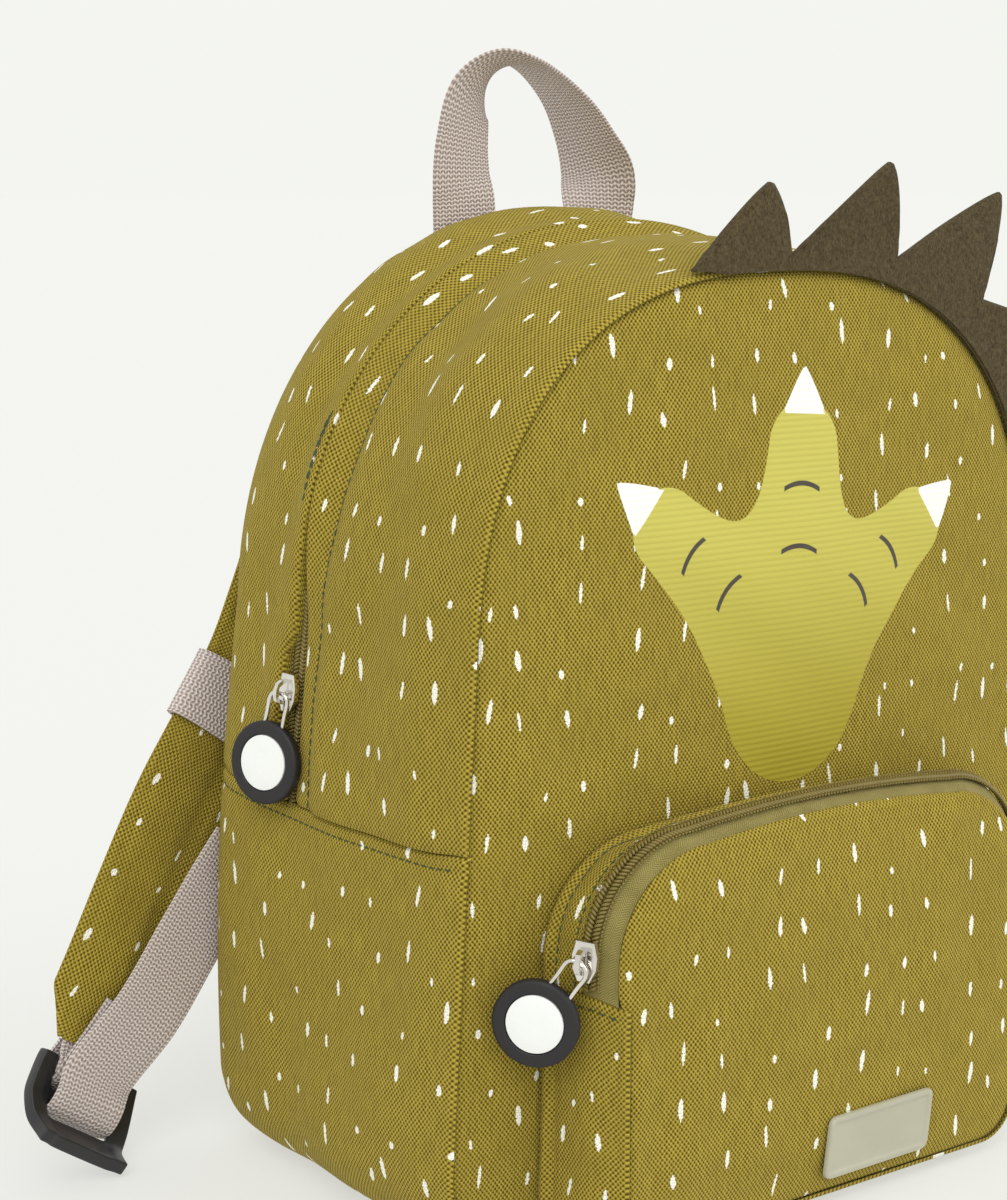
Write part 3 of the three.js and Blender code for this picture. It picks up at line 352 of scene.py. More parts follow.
# relief(along, depth) gives millimetres off the skin, over along and depth in millimetres
def skinShell(name, skin, shares, depths, relief, thickness, width, length, material, offset=(0, 0), thin=()):
    grid = np.stack([skin(shares, depth) for depth in depths])
    middle = np.stack([0.5 * (skin(np.zeros(1), d) + skin(np.ones(1), d)) for d in depths])
    normals = gridNormals(grid, middle)
    along = np.broadcast_to(shares * length, grid.shape[:2])
    deep = np.broadcast_to(np.array(depths)[:, None] * width, grid.shape[:2])
    raised = relief(along, deep)
    outer = grid + normals * raised[..., None]
    inner = grid + normals * (raised - thickness * wallShare(deep, thin))[..., None]
    uv = np.stack([deep + offset[0], along + offset[1]], axis=-1)
    piece = shellPiece(name, outer, inner, uv, material)
    return piece, outer, normals


def discPiece(
    name, rimX, rimZ, middle, rings, faceY, relief, thickness, material, roll,
    attributes=None, offset=(0, 0), inset=0,
):
    # rings round a middle: faceY(x, z) is its face and relief(x, z, edge) stands it off
    away = np.hypot(rimX - middle[0], rimZ - middle[1])
    rimX, rimZ = (m + (rim - m) * (1 - inset / away) for m, rim in zip(middle, (rimX, rimZ)))
    away = away - inset
    out = -1 if thickness > 0 else 1
    rings = np.array(rings)[:, None]
    x = middle[0] + (rimX - middle[0]) * rings
    z = middle[1] + (rimZ - middle[1]) * rings
    edge = (1 - rings) * away
    y = faceY(x, z) + out * (relief(x, z, edge) + edgeRoll(edge, *roll))
    backRings = np.array([1, 0.93, 0.8, 0.5, 0.2])[:, None]
    backX = middle[0] + (rimX - middle[0]) * backRings
    backZ = middle[1] + (rimZ - middle[1]) * backRings
    backYs = faceY(backX, backZ) + thickness
    count, front, back = len(rimX), len(rings), len(backRings)
    hub = np.array([[middle[0], y[-1].mean(), middle[1]], [middle[0], backYs[-1].mean(), middle[1]]])
    faceGrid = np.stack([x, y, z], axis=-1).reshape(-1, 3)
    backGrid = np.stack([backX, backYs, backZ], axis=-1).reshape(-1, 3)
    points = np.concatenate([faceGrid, backGrid, hub])
    shift = count * front
    hubs = shift + count * back
    faces = []
    for k in range(count):
        n = (k + 1) % count
        for r in range(front - 1):
            a = r * count
            faces.append((a + k, a + n, a + count + n, a + count + k))
        for r in range(back - 1):
            a = shift + r * count
            faces.append((a + k, a + count + k, a + count + n, a + n))
        last = (front - 1) * count
        faces.append((last + k, last + n, hubs))
        last = shift + (back - 1) * count
        faces.append((last + n, last + k, hubs + 1))
        faces.append((k, shift + k, shift + n, n))
    uv = points[:, [0, 2]] + np.array(offset)
    flat = np.abs(np.diff(rings * away, axis=0))
    extra = np.cumsum((np.hypot(flat, np.diff(y, axis=0)) - flat)[::-1], axis=0)[::-1]
    heading = np.stack([rimX - middle[0], rimZ - middle[1]], axis=-1) / away[:, None]
    uv[: count * (front - 1)] += (extra[..., None] * heading).reshape(-1, 2)
    uv[shift:hubs] += 3 * bag["cloth"]
    values = {key: make(points[:, 0], points[:, 2]) for key, make in (attributes or {}).items()}
    return meshPiece(name, points, facingOut(points, faces), material, uv=uv, attributes=values)


class Path:  # a smooth path through stations: their places and the way that is across the piece
    def __init__(self, places, across):
        self.places, self.turns = np.array(places, dtype=float), np.array(across, dtype=float)

    @staticmethod
    def spline(points, share):
        last = len(points) - 1
        place = np.clip(share, 0, 1) * last
        i = np.minimum(place.astype(int), last - 1)
        weight = (place - i)[:, None]
        p1, p2 = points[i], points[i + 1]
        p0 = np.where((i > 0)[:, None], points[np.maximum(i - 1, 0)], 2 * points[0] - points[1])
        beyond = 2 * points[last] - points[last - 1]
        p3 = np.where((i + 2 <= last)[:, None], points[np.minimum(i + 2, last)], beyond)
        d0, d1, d2 = (
            np.sqrt(np.maximum(np.linalg.norm(b - a, axis=1), 1e-8))[:, None]
            for a, b in ((p0, p1), (p1, p2), (p2, p3))
        )
        d1 = np.where(d1 < 1e-3, 1.0, d1)
        d0, d2 = np.where(d0 < 1e-3, d1, d0), np.where(d2 < 1e-3, d1, d2)
        t1 = ((p1 - p0) / d0 - (p2 - p0) / (d0 + d1) + (p2 - p1) / d1) * d1
        t2 = ((p2 - p1) / d1 - (p3 - p1) / (d1 + d2) + (p3 - p2) / d2) * d1
        squared = -3 * p1 + 3 * p2 - 2 * t1 - t2
        cubed = 2 * p1 - 2 * p2 + t1 + t2
        return p1 + weight * (t1 + weight * (squared + weight * cubed))

    def frames(self, shares):
        shares = np.atleast_1d(np.asarray(shares, dtype=float))
        step = 0.0005
        centre = self.spline(self.places, shares)
        ahead = self.spline(self.places, np.minimum(shares + step, 1))
        tangent = unit(ahead - self.spline(self.places, np.maximum(shares - step, 0)))
        across = self.spline(self.turns, shares)
        across = unit(across - tangent * np.einsum("ij,ij->i", across, tangent)[:, None])
        return centre, tangent, across, unit(np.cross(tangent, across))


def ribbonPiece(name, path, width, thickness, section, steps, material, relief=None, offset=(0, 0)):
    # width(shares) and relief(across, along, side) are in millimetres
    shares = np.linspace(0, 1, steps + 1)
    centre, _, across, normal = path.frames(shares)
    along = np.concatenate([[0], np.cumsum(np.linalg.norm(np.diff(centre, axis=0), axis=1))])
    section = np.array(section)
    wide = width(shares)[:, None] * section[None, :, 0]
    high = np.broadcast_to(thickness * section[None, :, 1], wide.shape)
    side = np.broadcast_to(np.sign(section[None, :, 1]), wide.shape)
    run = np.broadcast_to(along[:, None], wide.shape)
    if relief:
        high = high + side * relief(wide, run, side)
    points = centre[:, None] + across[:, None] * wide[..., None] + normal[:, None] * high[..., None]
    count = len(section)
    faces = []
    for i in range(steps):
        for k in range(count):
            a, b = i * count + k, i * count + (k + 1) % count
            faces.append((a, b, b + count, a + count))
    faces.append(tuple(range(count))[::-1])
    faces.append(tuple(steps * count + k for k in range(count)))
    points = points.reshape(-1, 3)
    uv = np.stack([wide + side * 0.3 + offset[0], run + offset[1]], axis=-1)
    return meshPiece(name, points, facingOut(points, faces), material, uv=uv.reshape(-1, 2))


def mirroredPiece(piece, name):  # the same piece on the other side of the bag, with its faces turned back out
    mesh = piece.data.copy()
    mesh.name = name
    mesh.transform(Matrix.Diagonal((-1, 1, 1, 1)))
    mesh.flip_normals()
    twin = bpy.data.objects.new(name, mesh)
    bpy.context.scene.collection.objects.link(twin)
    return twin


def colour(red, green, blue, gain=1.0):  # a colour as seen on screen, 0 to 255, made linear
    def linear(value):
        value = value / 255
        return value / 12.92 if value <= 0.04045 else ((value + 0.055) / 1.055) ** 2.4

    return (*(linear(value) * gain for value in (red, green, blue)), 1.0)


class Finish:  # a material's node tree, built a node at a time
    def __init__(self, name, roughness=0.8, metallic=0.0, sheen=0.0, shine=0.5):
        self.material = bpy.data.materials.new(name)
        self.material.use_nodes = True
        self.tree = self.material.node_tree
        self.surface = self.tree.nodes["Principled BSDF"]
        self.surface.inputs["Roughness"].default_value = roughness
        self.surface.inputs["Metallic"].default_value = metallic
        self.surface.inputs["Sheen Weight"].default_value = sheen
        self.surface.inputs["Sheen Roughness"].default_value = 0.5
        self.surface.inputs["Specular IOR Level"].default_value = shine

    def node(self, kind, inputs=None, **settings):
        node = self.tree.nodes.new(kind)
        for key, value in settings.items():
            setattr(node, key, value)
        for key, value in (inputs or {}).items():
            if isinstance(value, bpy.types.NodeSocket):
                self.tree.links.new(value, node.inputs[key])
            else:
                node.inputs[key].default_value = value
        return node

    def math(self, operation, *values):
        return self.node("ShaderNodeMath", dict(enumerate(values)), operation=operation).outputs[0]

    def ramp(self, value, low, high, toLow=0.0, toHigh=1.0):
        inputs = {"Value": value, "From Min": low, "From Max": high, "To Min": toLow, "To Max": toHigh}
        return self.node("ShaderNodeMapRange", inputs, interpolation_type="SMOOTHSTEP").outputs["Result"]

    def mix(self, factor, first, second):
        node = self.node("ShaderNodeMix", data_type="RGBA")
        for socket, value in zip((node.inputs[0], node.inputs[6], node.inputs[7]), (factor, first, second)):
            if isinstance(value, bpy.types.NodeSocket):
                self.tree.links.new(value, socket)
            else:
                socket.default_value = value
        return node.outputs[2]

    def clothPlace(self):
        uv = self.node("ShaderNodeUVMap", uv_map="cloth").outputs[0]
        parts = self.node("ShaderNodeSeparateXYZ", {0: uv})
        return uv, parts.outputs[0], parts.outputs[1]

    def objectPlace(self):
        return self.node("ShaderNodeTexCoord").outputs["Object"]

    def noise(self, place, scale, detail=2.0, roughness=0.5):
        inputs = {"Vector": place, "Scale": scale, "Detail": detail, "Roughness": roughness}
        return self.node("ShaderNodeTexNoise", inputs).outputs[0]

    def attribute(self, name):
        return self.node("ShaderNodeAttribute", attribute_name=name).outputs["Fac"]

    def finish(self, tint, height, distance, strength=1.0, roughness=None):
        links = self.tree.links
        if isinstance(tint, bpy.types.NodeSocket):
            links.new(tint, self.surface.inputs["Base Color"])
        else:
            self.surface.inputs["Base Color"].default_value = tint
        if height is not None:
            bump = self.node("ShaderNodeBump", {"Height": height, "Distance": distance, "Strength": strength})
            links.new(bump.outputs[0], self.surface.inputs["Normal"])
        if roughness is not None:
            links.new(roughness, self.surface.inputs["Roughness"])
        return self.material


canvasLook = {
    "warp": 0.7 * mm,  # from thread to thread across the cloth
    "weft": 0.87 * mm,
    "light": colour(183, 162, 64),
    "dark": colour(72, 56, 0),
    "shade": colour(132, 115, 42),
    "dash": colour(248, 246, 234),
    "dashSpacing": 16.5 * mm,
    "bump": 0.44 * mm,
}


def canvasFinish(name, printed=False):
    look = canvasLook
    f = Finish(name, roughness=0.92, sheen=0.1, shine=0.15)
    f.surface.inputs["Sheen Tint"].default_value = (0.9, 0.8, 0.45, 1)
    uv, u, v = f.clothPlace()
    wander = f.noise(uv, 900, 1)
    u = f.math("ADD", u, f.math("MULTIPLY", f.math("SUBTRACT", wander, 0.5), 0.25 * mm))
    across = f.math("SINE", f.math("MULTIPLY", u, math.pi / look["warp"]))
    along = f.math("SINE", f.math("MULTIPLY", v, math.pi / look["weft"]))
    weave = f.math("MULTIPLY", across, along)
    slub = f.noise(f.node("ShaderNodeMapping", {"Vector": uv, "Scale": (1, 0.12, 1)}).outputs[0], 1100, 2)
    blotch = f.noise(uv, 55, 3)
    over = f.ramp(f.math("ADD", weave, f.math("MULTIPLY", f.math("SUBTRACT", slub, 0.5), 0.7)), -0.86, 0.46)
    cloth = f.mix(over, look["dark"], look["light"])
    cloth = f.mix(f.ramp(blotch, 0.3, 0.7, 0.0, 0.2), cloth, look["shade"])
    cells = {"Vector": uv, "Scale": 1 / look["dashSpacing"], "Randomness": 0.72}
    voronoi = f.node("ShaderNodeTexVoronoi", cells, voronoi_dimensions="2D", feature="F1")
    place = f.node("ShaderNodeVectorMath", {0: uv, 1: voronoi.outputs["Position"]}, operation="SUBTRACT")
    draw = f.node("ShaderNodeSeparateColor", {0: voronoi.outputs["Color"]})
    tilt = f.ramp(draw.outputs[0], 0, 1, -0.2, 0.2)
    turning = {"Vector": place.outputs[0], "Angle": tilt}
    turned = f.node("ShaderNodeVectorRotate", turning, rotation_type="Z_AXIS")
    local = f.node("ShaderNodeSeparateXYZ", {0: turned.outputs[0]})
    reach = f.math("DIVIDE", local.outputs[1], f.ramp(draw.outputs[1], 0, 1, 1.2 * mm, 3.8 * mm))
    jagged = f.noise(uv, 1500, 0)
    widest = f.ramp(draw.outputs[2], 0, 1, 0.55 * mm, 0.95 * mm)
    blunt = f.math("POWER", f.math("ABSOLUTE", reach), 3.0)
    half = f.math("MULTIPLY", f.math("SUBTRACT", 1.0, blunt), widest)
    half = f.math("ADD", half, f.math("MULTIPLY", f.math("SUBTRACT", jagged, 0.5), 0.8 * mm))
    inside = f.math("SUBTRACT", half, f.math("ABSOLUTE", local.outputs[0]))
    dash = f.ramp(inside, 0, 0.12 * mm)
    cloth = f.mix(dash, cloth, look["dash"])
    height = f.math("POWER", f.math("ABSOLUTE", weave), 0.6)
    height = f.math("ADD", f.math("MULTIPLY", height, 0.55), f.math("MULTIPLY", over, 0.45))
    if printed:
        return printedFinish(f, cloth, height)
    return f.finish(cloth, height, look["bump"])


printLook = {
    "lime": colour(196, 188, 92),
    "limeLow": colour(160, 147, 44),
    "claw": colour(240, 240, 232),
    "line": colour(75, 70, 62),
    "lineWidth": 0.75,
    "edge": 0.12,  # how softly the print's outline ends, in millimetres
    "lowest": 130 * mm,
    "highest": 215 * mm,
}


def printedFinish(f, cloth, height):  # the footprint lies on the front panel as a smooth film
    look = printLook
    place = f.node("ShaderNodeSeparateXYZ", {0: f.objectPlace()})
    ribs = f.math("SINE", f.math("MULTIPLY", place.outputs[2], math.tau / (1.74 * mm)))
    fade = f.ramp(place.outputs[2], look["lowest"], look["highest"])
    lime = f.mix(fade, look["limeLow"], look["lime"])
    lime = f.mix(f.ramp(ribs, -1, 1, 0.0, 0.12), lime, look["limeLow"])
    edge = look["edge"]
    pad = f.ramp(f.attribute("padDistance"), edge, -edge)
    claw = f.ramp(f.attribute("clawDistance"), edge, -edge)
    fromLine = f.math("ABSOLUTE", f.attribute("lineDistance"))
    line = f.ramp(fromLine, look["lineWidth"] + edge, look["lineWidth"] - edge)
    line = f.math("MULTIPLY", line, f.ramp(f.attribute("lineReach"), 0, 0.5))
    tint = f.mix(pad, cloth, lime)
    tint = f.mix(f.math("MULTIPLY", line, pad), tint, look["line"])
    tint = f.mix(claw, tint, look["claw"])
    film = f.math("MAXIMUM", pad, claw)
    height = f.node("ShaderNodeMix", {0: film, 2: height, 3: f.ramp(ribs, -1, 1, 0.75, 0.95)}).outputs[0]
    roughness = f.ramp(film, 0, 1, 0.92, 0.5)
    return f.finish(tint, height, canvasLook["bump"], roughness=roughness)


def webbingFinish():
    look = {
        "light": colour(226, 215, 210),
        "dark": colour(146, 130, 124),
        "rib": 1.35 * mm,
        "cord": 1.2 * mm,
        "bump": 0.35 * mm,
    }
    f = Finish("mauveWebbing", roughness=0.9, sheen=0.1, shine=0.2)
    uv, u, v = f.clothPlace()
    zigzag = f.math("PINGPONG", u, look["cord"])
    slanted = f.math("ADD", v, f.math("MULTIPLY", zigzag, 0.6))
    ribs = f.math("SINE", f.math("MULTIPLY", slanted, math.tau / look["rib"]))
    cords = f.math("COSINE", f.math("MULTIPLY", u, math.tau / look["cord"]))
    weave = f.math("ADD", f.math("MULTIPLY", ribs, 0.6), f.math("MULTIPLY", cords, 0.4))
    fibre = f.noise(uv, 1600, 2)
    lit = f.ramp(f.math("ADD", weave, f.math("SUBTRACT", fibre, 0.5)), -1.1, 0.9)
    return f.finish(f.mix(lit, look["dark"], look["light"]), f.ramp(weave, -1, 1), look["bump"])


def feltFinish():
    look = {"light": colour(98, 85, 57), "dark": colour(52, 41, 22), "bump": 0.5 * mm}
    f = Finish("brownFelt", roughness=1.0, sheen=0.08, shine=0.1)
    place = f.objectPlace()
    stretched = f.node("ShaderNodeMapping", {"Vector": place, "Scale": (1, 1, 0.6)}).outputs[0]
    fibre = f.noise(stretched, 1500, 4, 0.8)
    tuft = f.noise(place, 520, 3, 0.7)
    lit = f.ramp(f.math("ADD", fibre, f.math("MULTIPLY", tuft, 0.4)), 0.45, 0.95)
    return f.finish(f.mix(lit, look["dark"], look["light"]), f.math("ADD", fibre, tuft), look["bump"])


def tapeFinish():
    look = {
        "light": colour(158, 146, 86),
        "dark": colour(118, 106, 48),
        "band": 1.5 * mm,
        "thread": 0.8 * mm,
        "bump": 0.12 * mm,
    }
    f = Finish("zipTape", roughness=0.7, sheen=0.08, shine=0.25)
    uv, u, v = f.clothPlace()
    slant = f.math("ADD", v, f.math("PINGPONG", u, look["band"]))
    twill = f.math("SINE", f.math("MULTIPLY", slant, math.tau / look["thread"]))
    patch = f.noise(uv, 120, 2)
    lit = f.math("ADD", f.ramp(twill, -1, 1, 0.05, 0.8), f.ramp(patch, 0.3, 0.7, -0.1, 0.2))
    return f.finish(f.mix(lit, look["dark"], look["light"]), f.ramp(twill, -1, 1), look["bump"])


def plainFinish(name, tint, roughness, metallic=0.0, grain=900.0, bump=0.03, vary=0.06, coat=0.0):
    f = Finish(name, roughness=roughness, metallic=metallic)
    f.surface.inputs["Coat Weight"].default_value = coat
    place = f.objectPlace()
    cloud = f.noise(place, 70, 3)
    darker = tuple(value * (1 - vary * 2) for value in tint[:3]) + (1.0,)
    fine = f.noise(place, grain, 2)
    rough = f.ramp(cloud, 0.3, 0.7, roughness * 0.85, min(roughness * 1.15, 1))
    return f.finish(f.mix(f.ramp(cloud, 0.35, 0.65), darker, tint), fine, bump * mm, roughness=rough)


canvas = canvasFinish("oliveCanvas")
printedCanvas = canvasFinish("printedCanvas", printed=True)
webbing = webbingFinish()
felt = feltFinish()
tape = tapeFinish()
coil = plainFinish("zipCoil", colour(126, 110, 52), 0.4, bump=0.02)
thread = plainFinish("greenThread", colour(62, 78, 52), 0.75, grain=3000, bump=0.08)
blackPlastic = plainFinish("blackPlastic", colour(34, 33, 35), 0.4, bump=0.05)
rubber = plainFinish("charcoalRubber", colour(30, 27, 29), 0.6, bump=0.05)
enamel = plainFinish("whiteFace", colour(236, 237, 235), 0.28, bump=0.01, vary=0.01, coat=0.4)
nickel = plainFinish("nickel", colour(232, 228, 222), 0.14, metallic=1.0, bump=0.02)
labelRubber = plainFinish("labelRubber", colour(178, 175, 154), 0.42, bump=0.04, vary=0.03, coat=0.2)
print("finishes made")


def sewingTree():  # rows of one small rounded shape along a line: stitches, or a zip's teeth
    tree = bpy.data.node_groups.new("sewnRow", "GeometryNodeTree")
    face = tree.interface
    face.new_socket("Line", in_out="INPUT", socket_type="NodeSocketGeometry")
    face.new_socket("Row", in_out="OUTPUT", socket_type="NodeSocketGeometry")
    sizes = {"Pitch": 0.003, "Along": 0.002, "Across": 0.0006, "Height": 0.0005, "Slant": 0.0}
    for name, default in sizes.items():
        socket = face.new_socket(name, in_out="INPUT", socket_type="NodeSocketFloat")
        socket.default_value = default
    face.new_socket("Finish", in_out="INPUT", socket_type="NodeSocketMaterial")

    def add(kind, **settings):
        node = tree.nodes.new(kind)
        for key, value in settings.items():
            setattr(node, key, value)
        return node

    def link(start, end):
        tree.links.new(start, end)

    given, result = add("NodeGroupInput"), add("NodeGroupOutput")
    curve = add("GeometryNodeMeshToCurve")
    spaced = add("GeometryNodeResampleCurve", mode="LENGTH")
    shape = add("GeometryNodeMeshUVSphere")
    shape.inputs["Segments"].default_value = 6
    shape.inputs["Rings"].default_value = 4
    shape.inputs["Radius"].default_value = 0.5
    size = add("ShaderNodeCombineXYZ")
    scaled = add("GeometryNodeTransform")
    smoothShape = add("GeometryNodeSetShadeSmooth")
    tangent = add("GeometryNodeInputTangent")
    up = add("GeometryNodeInputNamedAttribute", data_type="FLOAT_VECTOR")
    up.inputs["Name"].default_value = "up"
    alignAlong = add("FunctionNodeAlignRotationToVector", axis="X")
    alignUp = add("FunctionNodeAlignRotationToVector", axis="Z", pivot_axis="X")
    slant = add("FunctionNodeAxisAngleToRotation")
    slant.inputs["Axis"].default_value = (0, 0, 1)
    slanted = add("FunctionNodeRotateRotation", rotation_space="LOCAL")
    placed = add("GeometryNodeInstanceOnPoints")
    real = add("GeometryNodeRealizeInstances")
    painted = add("GeometryNodeSetMaterial")
    link(given.outputs["Line"], curve.inputs["Mesh"])
    link(curve.outputs["Curve"], spaced.inputs["Curve"])
    link(given.outputs["Pitch"], spaced.inputs["Length"])
    for key, axis in (("Along", "X"), ("Across", "Y"), ("Height", "Z")):
        link(given.outputs[key], size.inputs[axis])
    link(shape.outputs["Mesh"], smoothShape.inputs["Geometry"])
    link(smoothShape.outputs["Geometry"], scaled.inputs["Geometry"])
    link(size.outputs[0], scaled.inputs["Scale"])
    link(tangent.outputs[0], alignAlong.inputs["Vector"])
    link(alignAlong.outputs[0], alignUp.inputs["Rotation"])
    link(up.outputs["Attribute"], alignUp.inputs["Vector"])
    link(spaced.outputs["Curve"], placed.inputs["Points"])
    link(scaled.outputs["Geometry"], placed.inputs["Instance"])
    link(given.outputs["Slant"], slant.inputs["Angle"])
    link(alignUp.outputs[0], slanted.inputs["Rotation"])
    link(slant.outputs[0], slanted.inputs["Rotate By"])
    link(slanted.outputs[0], placed.inputs["Rotation"])
    link(placed.outputs["Instances"], real.inputs["Geometry"])
    link(real.outputs["Geometry"], painted.inputs["Geometry"])
    link(given.outputs["Finish"], painted.inputs["Material"])
    link(painted.outputs["Geometry"], result.inputs["Row"])
    return tree


sewing = sewingTree()


def sewnRows(name, lines, pitch, along, across, height, material, slant=0.0):
    # each line is its points and normals, in millimetres
    points, edges, ups = [], [], []
    for line, normals in lines:
        start = len(points)
        points.extend((line * mm).tolist())
        ups.extend(normals.tolist())
        edges.extend((start + i, start + i + 1) for i in range(len(line) - 1))
    mesh = bpy.data.meshes.new(name)
    mesh.from_pydata(points, edges, [])
    mesh.attributes.new("up", "FLOAT_VECTOR", "POINT").data.foreach_set("vector", np.array(ups).ravel())
    row = bpy.data.objects.new(name, mesh)
    bpy.context.scene.collection.objects.link(row)
    modifier = row.modifiers.new("row", "NODES")
    modifier.node_group = sewing
    values = {
        "Pitch": pitch * mm,
        "Along": along * mm,
        "Across": across * mm,
        "Height": height * mm,
        "Slant": math.radians(slant),
        "Finish": material,
    }
    for item in sewing.interface.items_tree:
        if item.in_out == "INPUT" and item.name in values:
            modifier[item.identifier] = values[item.name]
    evaluated = row.evaluated_get(bpy.context.evaluated_depsgraph_get())
    plain = bpy.data.meshes.new_from_object(evaluated)
    row.modifiers.remove(modifier)
    row.data = plain
    return row


stitch = {"pitch": 3.1, "along": 2.5, "across": 0.52, "height": 0.45}


def ride(piece, body, slot, *nodes):
    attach(piece, body)
    if nodes:
        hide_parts(*nodes)
    return piece


# Where the gusset's strips begin and end.
middleOutline = outlineOf(bagOutline, 0.5)
halfLength = middleOutline.total
seamShare = middleOutline.shareAtHeight(bag["sideSeam"])
zipShare = zipSizes["depth"] / bag["depth"]
openingShare = zipSizes["opening"] / bag["depth"]


def spacedDepths(start, end, count):  # closer together near both seams
    share = np.linspace(0, 1, count)
    eased = share + (np.sin(share * math.tau) / math.tau) * -0.55
    return (start + (end - start) * eased).tolist()


def flapCover(along):  # how far the cloth closes over the coil: 0 on the sides, 1 over the top
    heights = middleOutline.at(np.abs(along) / halfLength)[1]
    return smooth(heights, zipSizes["openHeight"], zipSizes["closedHeight"])


frontStrip = {
    "columns": 300,
    "rows": 52,
    "hem": (7.5, 10.5),  # topstitch line's distance from the zip on the sides and over the top
    "ridge": 4.4,  # how high the folded edge stands over the arch
    "valley": 1.4,  # how deep its topstitch draws it in
    "bulge": (1.3, 1.0),  # of the cloth in front of the topstitch, on the sides and over the top
    "folds": [  # (along, depth) start and end, width, height
        ((-20, 30), (-150, 26), 13, 2.4),
        ((-60, 52), (-140, 40), 9, -2.3),
        ((-150, 30), (-215, 55), 12, -2.6),
        ((-175, 14), (-250, 18), 12, 1.8),
        ((-205, 66), (-262, 40), 10, 2.0),
        ((20, 40), (150, 30), 12, 2.0),
        ((150, 55), (230, 35), 11, -2.2),
    ],
}


def stitchDistance(along, look):
    return look["hem"][0] + (look["hem"][1] - look["hem"][0]) * flapCover(along)


def frontStripRelief(along, deep):
    look = frontStrip
    zipEdge = (zipShare - openingShare / 2) * bag["depth"]
    toZip = zipEdge - deep
    sewn = stitchDistance(along, look)
    ends = smooth(seamShare * halfLength - np.abs(along), 0, 14)
    loose = smooth(deep, 2, 14) * smooth(toZip, 1, 12) * (0.25 + 0.75 * ends)
    high = (folds(along, deep, look["folds"]) + 0.4 * softNoise(along, deep, 34, 4)) * loose
    high = high + edgeRoll(deep + turnIn, *seamRoll["front"])
    cover = flapCover(along)
    high = high + (look["ridge"] + look["valley"]) * np.clip(1 - toZip / sewn, 0, 1) * cover
    puffed = look["bulge"][0] * (1 - cover) + look["bulge"][1] * cover
    drawn = -look["valley"] * (0.35 + 0.65 * cover)
    ahead = drawn * np.exp(-(toZip - sewn) / 1.8)
    onFold = drawn * np.exp(-(sewn - toZip) / (1.2 + 40 * cover))
    high = high + np.where(toZip > sewn, ahead, onFold)
    high = high + puffed * smooth(toZip, sewn, sewn + 6) * smooth(deep, -2, 20)
    high = high + edgeRoll(toZip, 2.2, 1.2) + edgeRoll(seamShare * halfLength - np.abs(along), 2.5, 1.2)
    return high


def lineOn(outer, normals, shares, depths, wantedShares, wantedDepth, lift=0.15):  # a line on a finished skin
    rows = np.interp(wantedDepth, depths, np.arange(len(depths)))
    columns = np.interp(wantedShares, shares, np.arange(len(shares)))
    r0, c0 = np.floor(rows).astype(int), np.floor(columns).astype(int)
    r1, c1 = np.minimum(r0 + 1, len(depths) - 1), np.minimum(c0 + 1, len(shares) - 1)
    a, b = (rows - r0)[:, None], (columns - c0)[:, None]

    def blend(grid):
        near = grid[r0, c0] * (1 - a) + grid[r1, c0] * a
        far = grid[r0, c1] * (1 - a) + grid[r1, c1] * a
        return near * (1 - b) + far * b

    up = unit(blend(normals))
    return blend(outer) + up * lift, up


def makeFrontStrip():
    look = frontStrip
    end = seamShare - bag["gap"] / halfLength / 2
    shares = np.linspace(-end, end, look["columns"])
    depths = spacedDepths(-turnIn / bag["depth"], zipShare - openingShare / 2, look["rows"])
    piece, outer, normals = skinShell(
        "gusset_front_cloth", bagSkin, shares, depths, frontStripRelief,
        bag["cloth"], bag["depth"], halfLength, canvas, offset=(31, 17), thin=["first"],
    )
    ride(piece, "bag", "canvas", "gusset_front")
    wanted = np.linspace(-end + 0.004, end - 0.004, 400)
    sewn = stitchDistance(wanted * halfLength, look)
    line = lineOn(outer, normals, shares, depths, wanted, zipShare - openingShare / 2 - sewn / bag["depth"])
    rows = sewnRows("gusset_front_topstitch", [line], material=thread, **stitch)
    ride(rows, "bag", "canvas")
    return piece


makeFrontStrip()

backStrip = {
    "columns": 300,
    "rows": 34,
    "sideFold": 2.0,  # how high its folded edge stands beside the zip
    "topFold": 4.4,  # and over the arch
    "foldReach": 17,
    "hump": 2.2,
    # mm behind the fold, and from where to where along it
    "tacks": [(3.0, 0.254, 0.308), (4.4, 0.262, 0.295), (3.7, 0.258, 0.3)],
    "folds": [
        ((-30, 100), (-120, 104), 8, 0.9),
        ((-120, 104), (-200, 98), 8, -1.0),
        ((60, 100), (160, 104), 8, -0.9),
    ],
}


def backStripDepths(along):
    heights = middleOutline.at(np.abs(along) / halfLength)[1]
    above = smooth(heights, *zipSizes["sliderHeights"])
    opening = zipSizes["opening"] + (zipSizes["narrow"] - zipSizes["opening"]) * above
    opening = opening + (2 * bag["gap"] - opening) * flapCover(along)
    return zipShare - openingShare / 2 + opening / bag["depth"]


